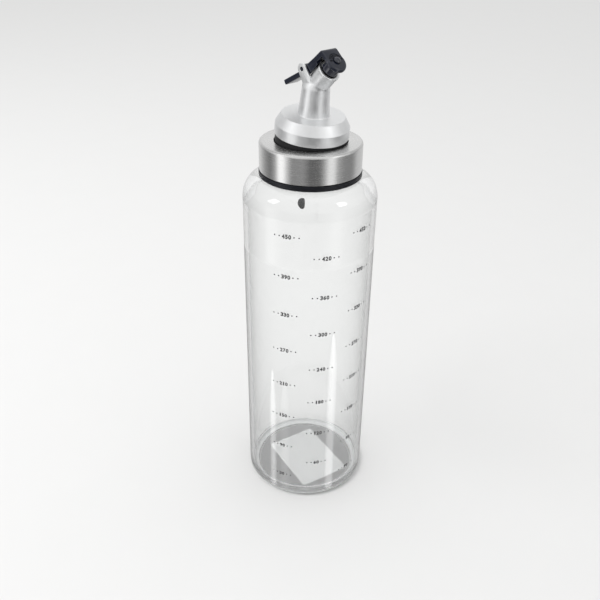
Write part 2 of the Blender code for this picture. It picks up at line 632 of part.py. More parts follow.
def lean_pourer(pieces):
    """Hang the pourer's pieces on an empty that stands on the cap and leans toward the mouth."""
    axis = bpy.data.objects.new("pourer_axis", None)
    bpy.context.collection.objects.link(axis)
    lean = Matrix.Rotation(POURER_LEAN, 3, "Y")
    axis.location = Vector((0.0, 0.0, SLEEVE_TOP)) + lean @ Vector((0.0, 0.0, POURER_RISE))
    axis.rotation_euler.y = POURER_LEAN
    for piece in pieces:
        piece.parent = axis
    return axis


def main():
    """Build the cruet."""
    clear_scene()
    glass_bottle()
    base_label()
    cap_sleeve()
    cap_liner()
    cap_gasket()
    lean_pourer([stopper(), pourer_body(), vent_tube(), lever(), mouth_plug()])


main()
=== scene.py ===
"""Looks of the oil cruet: smooth surfaces, finishes, printed scale, studio and camera.

Sizes are in millimetres and become metres when a mesh is written. +Z is up, the origin is the
centre of the bottle's standing face, and the pourer's mouth points toward +X.
"""
import logging
import math
from collections.abc import Sequence
from dataclasses import dataclass, field
from enum import Enum

import bmesh
import bpy
import numpy as np
from mathutils import Matrix, Vector


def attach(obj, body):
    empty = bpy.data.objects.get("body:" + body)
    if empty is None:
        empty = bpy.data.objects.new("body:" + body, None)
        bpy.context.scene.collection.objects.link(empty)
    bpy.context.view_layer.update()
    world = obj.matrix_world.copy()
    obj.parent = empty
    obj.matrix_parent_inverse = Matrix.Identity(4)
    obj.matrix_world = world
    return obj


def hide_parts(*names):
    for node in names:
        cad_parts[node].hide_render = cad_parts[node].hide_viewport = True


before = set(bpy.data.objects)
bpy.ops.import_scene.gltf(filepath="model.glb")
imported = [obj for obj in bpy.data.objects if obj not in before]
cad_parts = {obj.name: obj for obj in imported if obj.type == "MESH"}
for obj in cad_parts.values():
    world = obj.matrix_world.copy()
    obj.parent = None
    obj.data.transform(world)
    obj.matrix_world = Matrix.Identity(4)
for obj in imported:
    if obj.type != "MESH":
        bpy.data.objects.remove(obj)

MM = 0.001
UP = np.array([0.0, 1.0])
MERGE_DISTANCE = 1e-7
SHARP_ANGLE = math.radians(38.0)
ARC_STEP = math.radians(13.0)
BOTTLE_RADIUS = 32.5
CAP_TOP = 195.8
POURER_LEAN = math.radians(6.0)
STOPPER_HEAD = 16.9
SEAT_GAP = 0.3
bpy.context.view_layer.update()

log = logging.getLogger("oil_cruet")


class Side(Enum):
    """Side of the pourer, as the sign of Y there."""

    NEAR = -1
    FAR = 1


class Ray(Enum):
    """Kinds of ray that may see a card."""

    GLOSSY = "glossy"
    TRANSMISSION = "transmission"


# Surfaces


def arc(centre: Sequence[float], radius_x: float, radius_z: float, start: float, end: float,
        steps: int) -> np.ndarray:
    """Points of an elliptical arc: centre plus (radius_x cos a, radius_z sin a).

    Args:
        centre: Centre as (x, z).
        radius_x: Half axis across.
        radius_z: Half axis up.
        start: First angle in degrees.
        end: Last angle in degrees.
        steps: Number of equal angle steps.

    Returns:
        Array of steps + 1 points.
    """
    angle = np.radians(np.linspace(start, end, steps + 1))
    return np.stack([centre[0] + radius_x * np.cos(angle), centre[1] + radius_z * np.sin(angle)], axis=1)


def bow(first: Sequence[float], pull: Sequence[float], last: Sequence[float], steps: int) -> np.ndarray:
    """Quadratic curve (1-t)^2 first + 2t(1-t) pull + t^2 last.

    Args:
        first: First point.
        pull: Point that the curve leans toward.
        last: Last point.
        steps: Number of equal steps of t.

    Returns:
        Array of steps + 1 points.
    """
    t = np.linspace(0.0, 1.0, steps + 1)[:, None]
    return (1 - t) ** 2 * np.asarray(first) + 2 * t * (1 - t) * np.asarray(pull) + t ** 2 * np.asarray(last)


def straight(first: Sequence[float], last: Sequence[float], steps: int) -> np.ndarray:
    """Points spread evenly on the line from first to last."""
    return np.asarray(first) + (np.asarray(last) - np.asarray(first)) * np.linspace(0, 1, steps + 1)[:, None]


def rounded(corners: Sequence[tuple[float, float, float]], closed: bool = False,
            support: float = 0.12) -> np.ndarray:
    """Profile through corners, each turned into a true arc that touches both of its edges.

    An arc of radius r at a corner whose edges meet at an angle 2h starts r / tan h from the
    corner, and its centre lies r / sin h from it on the bisector. Each straight run also gets a
    point close to its arcs, so that the smooth shading of an arc stops there.

    Args:
        corners: Corners as (radius, height, arc radius); an arc radius of 0 keeps the corner.
        closed: True if the last corner joins the first.
        support: Distance from an arc to the point that holds the flat beside it.

    Returns:
        Array of (radius, height) points.
    """
    spots = [np.array(corner[:2], float) for corner in corners]
    count = len(spots)
    made: list[np.ndarray] = []
    for i, (spot, corner) in enumerate(zip(spots, corners)):
        radius = corner[2]
        if radius <= 0 or (not closed and i in (0, count - 1)):
            made.append(spot[None, :])
            continue
        back = spots[i - 1] - spot
        ahead = spots[(i + 1) % count] - spot
        back_length, ahead_length = np.linalg.norm(back), np.linalg.norm(ahead)
        back, ahead = back / back_length, ahead / ahead_length
        half = math.acos(float(np.clip(back @ ahead, -1, 1))) / 2
        touch = radius / math.tan(half)
        bisector = (back + ahead) / np.linalg.norm(back + ahead)
        centre = spot + bisector * (radius / math.sin(half))
        first, last = spot + back * touch - centre, spot + ahead * touch - centre
        turn = math.pi - 2 * half
        steps = max(2, math.ceil(turn / ARC_STEP))
        t = np.linspace(0, 1, steps + 1)[:, None]
        curve = (np.sin((1 - t) * turn) * first + np.sin(t * turn) * last) / math.sin(turn)
        if back_length > touch + 3 * support:
            made.append((centre + first + back * support)[None, :])
        made.append(centre + curve)
        if ahead_length > touch + 3 * support:
            made.append((centre + last + ahead * support)[None, :])
    return np.concatenate(made)


def revolve(profile: np.ndarray, columns: int) -> np.ndarray:
    """Carry a profile round Z: (r, z) becomes (r cos a, r sin a, z).

    Args:
        profile: Array of (radius, height) points.
        columns: Number of equal angles in the turn.

    Returns:
        Grid of points, one row per profile point.
    """
    angle = np.linspace(0, 2 * np.pi, columns, endpoint=False)
    radius, height = profile[:, :1], profile[:, 1:]
    return np.stack([radius * np.cos(angle), radius * np.sin(angle), height + 0 * angle], axis=-1)


def carried(centres: np.ndarray, ways: np.ndarray, radii: np.ndarray) -> np.ndarray:
    """Rings set square to a path in the XZ plane: centre + across r cos a + Y r sin a.

    Args:
        centres: Path points as (x, z).
        ways: Unit directions of the path as (x, z).
        radii: Ring radii, one row per path point and one column per angle.

    Returns:
        Grid of points.
    """
    angle = np.linspace(0, 2 * np.pi, radii.shape[1], endpoint=False)
    across = radii * np.cos(angle)
    x = centres[:, :1] + ways[:, 1:] * across
    z = centres[:, 1:] - ways[:, :1] * across
    return np.stack([x, radii * np.sin(angle), z], axis=-1)


def turned(profile: np.ndarray, origin: Sequence[float], way: np.ndarray,
           columns: int) -> tuple[np.ndarray, np.ndarray, np.ndarray]:
    """Rings of a profile turned round a straight axis in the XZ plane.

    Args:
        profile: Array of (radius, height) points.
        origin: Where the height is 0, as (x, z).
        way: Unit direction of the axis as (x, z).
        columns: Number of equal angles in the turn.

    Returns:
        Centres, directions and radii of the rings, as carried takes them.
    """
    ways = np.repeat(way[None, :], len(profile), axis=0)
    return np.asarray(origin) + profile[:, 1:] * way, ways, np.repeat(profile[:, :1], columns, axis=1)


def grid_piece(name: str, grid: np.ndarray, loop_rows: bool = False) -> bpy.types.Object:
    """Join a grid of points, closed round its columns, into a smooth mesh that faces outward.

    Row i and column j meet rows i + 1 and columns j + 1 in a quad. The sum of a . (b x c) over the
    faces is six times the volume, and a negative sum turns every face round. The UV map runs
    round the columns in U and along the rows in V.

    Args:
        name: Name of the object and mesh.
        grid: Points in millimetres, shaped rows by columns by 3.
        loop_rows: True if the last row joins the first, as on a ring.

    Returns:
        The new object at the origin.
    """
    rows, columns = grid.shape[:2]
    last = rows if loop_rows else rows - 1
    row, column = np.meshgrid(np.arange(last), np.arange(columns), indexing="ij")
    after, beside = (row + 1) % rows, (column + 1) % columns
    faces = np.stack([row * columns + column, row * columns + beside,
                      after * columns + beside, after * columns + column], axis=-1).reshape(-1, 4)
    u = np.stack([column, column + 1, column + 1, column], axis=-1).reshape(-1, 4) / columns
    v = np.stack([row, row, row + 1, row + 1], axis=-1).reshape(-1, 4) / last
    points = grid.reshape(-1, 3)
    first, second, third, fourth = (points[faces[:, k]] for k in range(4))
    volume = np.einsum("ij,ij->", first, np.cross(second, third))
    volume += np.einsum("ij,ij->", first, np.cross(third, fourth))
    if volume < 0:
        faces, u, v = faces[:, ::-1], u[:, ::-1], v[:, ::-1]
    mesh = bpy.data.meshes.new(name)
    mesh.from_pydata((points * MM).tolist(), [], faces.tolist())
    layer = mesh.uv_layers.new(name="UVMap")
    layer.data.foreach_set("uv", np.stack([u, v], axis=-1).astype(np.float32).ravel())
    return finished(name, mesh)


def in_scene(name: str, data: bpy.types.ID) -> bpy.types.Object:
    """Put a mesh, lamp or camera in the scene.

    Args:
        name: Name of the object.
        data: What the object holds.

    Returns:
        The new object at the origin.
    """
    made = bpy.data.objects.new(name, data)
    bpy.context.scene.collection.objects.link(made)
    return made


def finished(name: str, mesh: bpy.types.Mesh) -> bpy.types.Object:
    """Merge a mesh's doubles, shade it smooth between its edges and put it in the scene.

    Args:
        name: Name of the object.
        mesh: The mesh.

    Returns:
        The new object at the origin.
    """
    bm = bmesh.new()
    bm.from_mesh(mesh)
    bmesh.ops.remove_doubles(bm, verts=bm.verts, dist=MERGE_DISTANCE)
    bm.to_mesh(mesh)
    bm.free()
    mesh.shade_smooth()
    mesh.set_sharp_from_angle(angle=SHARP_ANGLE)
    return in_scene(name, mesh)


# Finishes


class Grain(Enum):
    """Kinds of surface texture."""

    LATHE = "lathe"
    FINE = "fine"
    CLEAR = "clear"


@dataclass(frozen=True)
class Finish:
    """How a surface looks.

    Attributes:
        name: Name of the material.
        colour: Linear base colour.
        roughness: Roughness in the middle of its range.
        metallic: 1 for bare metal, 0 for anything else.
        grain: Kind of texture.
        grain_size: Size of one grain or line in millimetres.
        relief: Height of the grain in millimetres.
        mottle: How far the colour darkens with the grain's slow tone.
        unevenness: How far the roughness moves with the slow tone.
        wear: How much lighter the edges are, as wear and as a painted edge highlight.
        dust: How much dust lies on what faces up.
        shine: Strength of the plain reflection, 0.5 for an ordinary plastic.
        stretch: Anisotropy, along the lathe's lines.
        stipple: Height in millimetres under which clear glass is rough.
    """

    name: str
    colour: tuple[float, float, float]
    roughness: float
    metallic: float = 0.0
    grain: Grain = Grain.FINE
    grain_size: float = 0.4
    relief: float = 0.004
    mottle: float = 0.1
    unevenness: float = 0.06
    wear: float = 0.1
    dust: float = 0.03
    shine: float = 0.5
    stretch: float = 0.0
    stipple: float = 0.95

    @property
    def darker(self) -> tuple[float, ...]:
        """The colour at its darkest."""
        return tuple(channel * (1 - self.mottle) for channel in self.colour)

    @property
    def worn(self) -> tuple[float, ...]:
        """The colour of a lighter edge, worn and with a painted highlight."""
        return tuple(min(1.0, channel + self.wear) for channel in self.colour)


@dataclass
class Graph:
    """Short calls for one node tree."""

    tree: bpy.types.NodeTree

    def add(self, kind: str, **settings: object) -> bpy.types.Node:
        """Add a node and set its properties.

        Args:
            kind: Node type without its ShaderNode prefix.
            settings: Properties by name; an input socket's value goes by its name with _ for a space.

        Returns:
            The new node.
        """
        node = self.tree.nodes.new("ShaderNode" + kind)
        for key, value in settings.items():
            if hasattr(node, key):
                setattr(node, key, value)
            else:
                node.inputs[key.replace("_", " ")].default_value = value
        return node

    def join(self, source: bpy.types.NodeSocket, target: bpy.types.NodeSocket) -> None:
        """Link an output to an input."""
        self.tree.links.new(source, target)

    def feed(self, term: object, target: bpy.types.NodeSocket) -> None:
        """Link a socket to an input, or write a number or a linear colour there.

        Args:
            term: Socket, number or colour.
            target: The input.
        """
        if isinstance(term, bpy.types.NodeSocket):
            self.join(term, target)
        else:
            target.default_value = (*term, 1.0) if isinstance(term, tuple) else term

    def maths(self, operation: str, first: object, second: object = 0.0) -> bpy.types.NodeSocket:
        """Apply one mathematical operation to sockets or numbers.

        Args:
            operation: Name of the operation.
            first: First socket or number.
            second: Second socket or number.

        Returns:
            The result's socket.
        """
        node = self.add("Math", operation=operation)
        self.feed(first, node.inputs[0])
        self.feed(second, node.inputs[1])
        return node.outputs[0]

    def blend(self, share: object, first: object, second: object) -> bpy.types.NodeSocket:
        """Mix two colours by a share.

        Args:
            share: Socket or number from 0 to 1.
            first: Socket or linear colour at 0.
            second: Socket or linear colour at 1.

        Returns:
            The mixed colour's socket.
        """
        node = self.add("Mix", data_type="RGBA")
        for place, term in ((0, share), (6, first), (7, second)):
            self.feed(term, node.inputs[place])
        return node.outputs[2]

    def parts(self, vector: bpy.types.NodeSocket) -> tuple[bpy.types.NodeSocket, ...]:
        """Split a vector.

        Args:
            vector: The vector's socket.

        Returns:
            Its X, Y and Z.
        """
        node = self.add("SeparateXYZ")
        self.join(vector, node.inputs[0])
        return tuple(node.outputs)

    def noise(self, vector: bpy.types.NodeSocket, scale: object, detail: float = 2.0,
              roughness: float = 0.5) -> bpy.types.NodeSocket:
        """Noise over coordinates.

        Args:
            vector: The coordinates.
            scale: Socket or number.
            detail: Number of finer layers.
            roughness: Strength of the finer layers.

        Returns:
            The noise's socket.
        """
        node = self.add("TexNoise", Detail=detail, Roughness=roughness)
        self.join(vector, node.inputs["Vector"])
        self.feed(scale, node.inputs["Scale"])
        return node.outputs[0]

    def coordinates(self) -> bpy.types.NodeSocket:
        """Coordinates of the object."""
        return self.add("TexCoord").outputs["Object"]

    def spread(self, source: bpy.types.NodeSocket, low: float, high: float, bottom: float = 0.0,
               top: float = 1.0) -> bpy.types.NodeSocket:
        """Carry a value's range onto another, and hold it there.

        Args:
            source: The value's socket.
            low: Value that gives the bottom.
            high: Value that gives the top.
            bottom: Lowest result.
            top: Highest result.

        Returns:
            The result's socket.
        """
        node = self.add("MapRange", From_Min=low, From_Max=high, To_Min=bottom, To_Max=top)
        self.join(source, node.inputs["Value"])
        return node.outputs["Result"]


def new_material(name: str) -> tuple[bpy.types.Material, Graph, bpy.types.Node]:
    """Start a material.

    Args:
        name: Name of the material.

    Returns:
        The material, its graph and its Principled BSDF.
    """
    material = bpy.data.materials.new(name)
    material.use_nodes = True
    graph = Graph(material.node_tree)
    return material, graph, graph.tree.nodes["Principled BSDF"]


def new_group(name: str, scale: float,
              outputs: Sequence[str]) -> tuple[Graph, bpy.types.Node, bpy.types.Node]:
    """Start a node group with the inputs Vector and Scale.

    Args:
        name: Name of the group.
        scale: The scale's own value.
        outputs: Names of the outputs, all numbers.

    Returns:
        The group's graph, its input node and its output node.
    """
    tree = bpy.data.node_groups.new(name, "ShaderNodeTree")
    tree.interface.new_socket("Vector", in_out="INPUT", socket_type="NodeSocketVector")
    socket = tree.interface.new_socket("Scale", in_out="INPUT", socket_type="NodeSocketFloat")
    socket.default_value = scale
    for title in outputs:
        tree.interface.new_socket(title, in_out="OUTPUT", socket_type="NodeSocketFloat")
    return Graph(tree), tree.nodes.new("NodeGroupInput"), tree.nodes.new("NodeGroupOutput")


@dataclass
class FinishShop:
    """Builds the shared node groups once and one material per finish.

    Attributes:
        groups: Node groups by name.
        made: Materials by name.
        dust_colour: Linear colour of dust.
        dust_size: Size of a speck in millimetres.
        wear_patches: Size of a lighter edge patch, in grains.
        line_angle: Turn of the lathe's lines from the surface's U, in turns.
        glass_index: Refractive index of glass.
        glass_edge: Power that keeps the glass's darker tone to its edges.
        glass_shadow: Share of a lamp's light that one skin of glass lets by.
        stipple_roughness: Roughness of the stippled underside.
    """

    groups: dict[str, bpy.types.NodeTree] = field(default_factory=dict)
    made: dict[str, bpy.types.Material] = field(default_factory=dict)
    dust_colour: tuple[float, float, float] = (0.55, 0.54, 0.52)
    dust_size: float = 1.2
    wear_patches: float = 3.0
    line_angle: float = 0.25
    glass_index: float = 1.5
    glass_edge: float = 3.0
    glass_shadow: float = 0.985
    stipple_roughness: float = 0.45

    def __post_init__(self) -> None:
        """Build the shared groups."""
        for build in (self.fine_grain, self.lathe_lines, self.edge_wear, self.settled_dust):
            self.groups[build.__name__] = build()

    def fine_grain(self) -> bpy.types.NodeTree:
        """Even fine noise for the relief and a ten times slower one for the tone.

        Returns:
            The group.
        """
        graph, given, out = new_group("fine_grain", 2500.0, ["Height", "Tone"])
        vector, scale = given.outputs["Vector"], given.outputs["Scale"]
        graph.join(graph.noise(vector, scale, 3.0, 0.6), out.inputs["Height"])
        slow = graph.noise(vector, graph.maths("MULTIPLY", scale, 0.1))
        graph.join(graph.spread(slow, 0.3, 0.7), out.inputs["Tone"])
        return graph.tree

    def lathe_lines(self) -> bpy.types.NodeTree:
        """Lines that run round Z: noise over (t x/r, t y/r, s (z + r) times the scale).

        The relief has t = 5 and s = 1, the tone t = 2 and s = 0.35.

        Returns:
            The group.
        """
        graph, given, out = new_group("lathe_lines", 2500.0, ["Height", "Tone"])
        x, y, z = graph.parts(given.outputs["Vector"])
        square = graph.maths("ADD", graph.maths("MULTIPLY", x, x), graph.maths("MULTIPLY", y, y))
        radius = graph.maths("MAXIMUM", graph.maths("SQRT", square), 0.0001)
        along = graph.maths("MULTIPLY", graph.maths("ADD", z, radius), given.outputs["Scale"])
        for title, turns, share in (("Height", 5.0, 1.0), ("Tone", 2.0, 0.35)):
            place = graph.add("CombineXYZ")
            for part, target in zip((x, y), place.inputs):
                graph.join(graph.maths("MULTIPLY", graph.maths("DIVIDE", part, radius), turns), target)
            graph.join(graph.maths("MULTIPLY", along, share), place.inputs[2])
            noise = graph.noise(place.outputs[0], 1.0, roughness=0.6)
            graph.join(graph.spread(noise, 0.25, 0.75), out.inputs[title])
        return graph.tree

    def edge_wear(self) -> bpy.types.NodeTree:
        """Mask that is 1 on sharp outer edges, broken up by noise, for wear and a painted edge highlight.

        Returns:
            The group.
        """
        graph, given, out = new_group("edge_wear", 900.0, ["Mask"])
        patches = graph.noise(given.outputs["Vector"], given.outputs["Scale"], 3.0)
        edge = graph.spread(graph.add("NewGeometry").outputs["Pointiness"], 0.52, 0.62)
        mask = graph.maths("MULTIPLY", edge, graph.spread(patches, 0.35, 0.65, 0.3))
        graph.join(mask, out.inputs["Mask"])
        return graph.tree

    def settled_dust(self) -> bpy.types.NodeTree:
        """Mask that is 1 on specks that lie on what faces up.

        Returns:
            The group.
        """
        graph, given, out = new_group("settled_dust", 700.0, ["Mask"])
        specks = graph.noise(given.outputs["Vector"], given.outputs["Scale"], 5.0, 0.7)
        up = graph.parts(graph.add("NewGeometry").outputs["Normal"])[2]
        mask = graph.maths("MULTIPLY", graph.spread(up, 0.1, 0.9), graph.spread(specks, 0.5, 0.75))
        graph.join(mask, out.inputs["Mask"])
        return graph.tree

    def placed(self, graph: Graph, name: str, size: float) -> bpy.types.Node:
        """Place a shared group in a material, over the object's coordinates.

        Args:
            graph: The material's graph.
            name: Name of the group.
            size: Size of one grain in millimetres.

        Returns:
            The group's node.
        """
        node = graph.add("Group", node_tree=self.groups[name], Scale=1.0 / (size * MM))
        graph.join(graph.coordinates(), node.inputs["Vector"])
        return node

    def relief(self, graph: Graph, shader: bpy.types.Node, grain: bpy.types.Node, height: float) -> None:
        """Wire a grain into the shader's normal.

        Args:
            graph: The material's graph.
            shader: Its Principled BSDF.
            grain: The grain's node.
            height: Height of the relief in millimetres.
        """
        bump = graph.add("Bump", Strength=1.0, Distance=height * MM)
        graph.join(grain.outputs["Height"], bump.inputs["Height"])
        graph.join(bump.outputs["Normal"], shader.inputs["Normal"])

    def material(self, finish: Finish) -> bpy.types.Material:
        """Build a finish's material, or give the one already built.

        Args:
            finish: The finish.

        Returns:
            Its material.
        """
        if finish.name not in self.made:
            self.made[finish.name], graph, shader = new_material(finish.name)
            wire = self.clear if finish.grain is Grain.CLEAR else self.opaque
            wire(graph, shader, finish)
        return self.made[finish.name]

    def opaque(self, graph: Graph, shader: bpy.types.Node, finish: Finish) -> None:
        """Wire an opaque finish: grain in relief, tone and roughness, lighter edges as wear and painted
        highlight, and dust.

        Args:
            graph: The material's graph.
            shader: Its Principled BSDF.
            finish: The finish.
        """
        texture = "lathe_lines" if finish.grain is Grain.LATHE else "fine_grain"
        grain = self.placed(graph, texture, finish.grain_size)
        wear = self.placed(graph, "edge_wear", self.wear_patches * finish.grain_size)
        dust = self.placed(graph, "settled_dust", self.dust_size)
        colour = graph.blend(grain.outputs["Tone"], finish.darker, finish.colour)
        # Sharp edges lighter: partly wear, partly a painted edge highlight.
        colour = graph.blend(wear.outputs["Mask"], colour, finish.worn)
        share = graph.maths("MULTIPLY", dust.outputs["Mask"], finish.dust)
        graph.join(graph.blend(share, colour, self.dust_colour), shader.inputs["Base Color"])
        low, high = finish.roughness - finish.unevenness, finish.roughness + finish.unevenness
        rough = graph.maths("ADD", graph.spread(grain.outputs["Tone"], 0.0, 1.0, low, high),
                            graph.maths("MULTIPLY", dust.outputs["Mask"], 2 * finish.dust))
        graph.join(rough, shader.inputs["Roughness"])
        self.relief(graph, shader, grain, finish.relief)
        shader.inputs["Metallic"].default_value = finish.metallic
        shader.inputs["Specular IOR Level"].default_value = finish.shine
        if finish.stretch:
            shader.inputs["Anisotropic"].default_value = finish.stretch
            shader.inputs["Anisotropic Rotation"].default_value = self.line_angle
            tangent = graph.add("Tangent", direction_type="UV_MAP", uv_map="UVMap")
            graph.join(tangent.outputs[0], shader.inputs["Tangent"])

    def clear(self, graph: Graph, shader: bpy.types.Node, finish: Finish) -> None:
        """Wire clear glass: greyer where it is seen edge on, slightly wavy, and open to lamps.

        Glass lower than the finish's stipple height is rough, as the moulded underside is.

        Args:
            graph: The material's graph.
            shader: Its Principled BSDF.
            finish: The finish.
        """
        facing = graph.add("LayerWeight", Blend=0.5).outputs["Facing"]
        edge = graph.maths("POWER", facing, self.glass_edge)
        graph.join(graph.blend(edge, finish.colour, finish.darker), shader.inputs["Base Color"])
        self.relief(graph, shader, self.placed(graph, "fine_grain", finish.grain_size), finish.relief)
        height = graph.parts(graph.coordinates())[2]
        under = graph.maths("LESS_THAN", height, finish.stipple * MM)
        graph.join(graph.maths("MULTIPLY", under, self.stipple_roughness), shader.inputs["Roughness"])
        shader.inputs["IOR"].default_value = self.glass_index
        shader.inputs["Transmission Weight"].default_value = 1.0
        through = graph.add("BsdfTransparent", Color=(*3 * (self.glass_shadow,), 1.0))
        mix = graph.add("MixShader")
        shadow = graph.add("LightPath").outputs["Is Shadow Ray"]
        for i, source in enumerate((shadow, shader.outputs[0], through.outputs[0])):
            graph.join(source, mix.inputs[i])
        graph.join(mix.outputs[0], graph.tree.nodes["Material Output"].inputs["Surface"])


CLEAR_GLASS = Finish("clear_glass", (0.99, 0.994, 0.993), 0.0, grain=Grain.CLEAR, grain_size=9.0,
                     relief=0.02, mottle=0.88)
# Finish of the white ring inside the foot's round, a painted highlight for the light caught in the glass
# there.
FOOT_HIGHLIGHT_WHITE = Finish("foot_highlight_white", (0.93, 0.94, 0.94), 0.6, grain_size=0.3, relief=0.004, mottle=0.03,
                      wear=0.0, dust=0.0, shine=0.3)
SCALE_INK = Finish("scale_ink", (0.008, 0.008, 0.009), 0.6, grain_size=0.3, relief=0.002, dust=0.0,
                   shine=0.2)
LABEL_PAPER = Finish("label_paper", (0.965, 0.97, 0.965), 0.75, grain_size=0.25, relief=0.006,
                     mottle=0.03, wear=0.0, dust=0.0)
BRUSHED_STEEL = Finish("brushed_steel", (0.68, 0.68, 0.675), 0.25, metallic=1.0, grain=Grain.LATHE,
                       grain_size=0.16, relief=0.0006, mottle=0.1, unevenness=0.04, wear=0.05,
                       stretch=0.75)
SATIN_CASTING = Finish("satin_casting", (0.85, 0.857, 0.862), 0.42, metallic=1.0, grain_size=0.3,
                       relief=0.0015, mottle=0.04, unevenness=0.05, wear=0.04)
BLACK_PLASTIC = Finish("black_plastic", (0.008, 0.0105, 0.022), 0.11, grain_size=0.5, relief=0.001,
                       mottle=0.25, unevenness=0.03, wear=0.008, dust=0.01, shine=0.6)
RING_PLASTIC = Finish("ring_plastic", (0.006, 0.007, 0.011), 0.4, grain_size=0.35, relief=0.004,
                      mottle=0.2, wear=0.01, dust=0.01, shine=0.3)
BLACK_RUBBER = Finish("black_rubber", (0.008, 0.008, 0.009), 0.5, grain_size=0.3, relief=0.005,
                      mottle=0.25, wear=0.01, dust=0.01, shine=0.3)
PLUG_SILICONE = Finish("plug_silicone", (0.007, 0.009, 0.02), 0.12, grain_size=0.4, relief=0.001,
                       mottle=0.2, unevenness=0.03, wear=0.008, dust=0.01, shine=0.8)
CLEAR_SILICONE = Finish("clear_silicone", (0.72, 0.72, 0.69), 0.45, grain_size=0.4, relief=0.003,
                        mottle=0.06)


# Sub-assemblies


@dataclass
class Fitter:
    """Dresses each piece, seats it on its CAD body and hides the CAD nodes that it stands for."""

    shop: FinishShop

    def fit(self, piece: bpy.types.Object, finish: Finish, body: str,
            nodes: Sequence[str] = ()) -> None:
        """Finish one piece and hang it on its body.

        Args:
            piece: The new piece.
            finish: Its finish.
            body: CAD body that it moves with.
            nodes: CAD nodes that it stands for.
        """
        piece.data.materials.clear()
        piece.data.materials.append(self.shop.material(finish))
        if nodes:
            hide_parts(*nodes)
        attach(piece, body)
        log.info("%s rides on %s with %d faces", piece.name, body, len(piece.data.polygons))


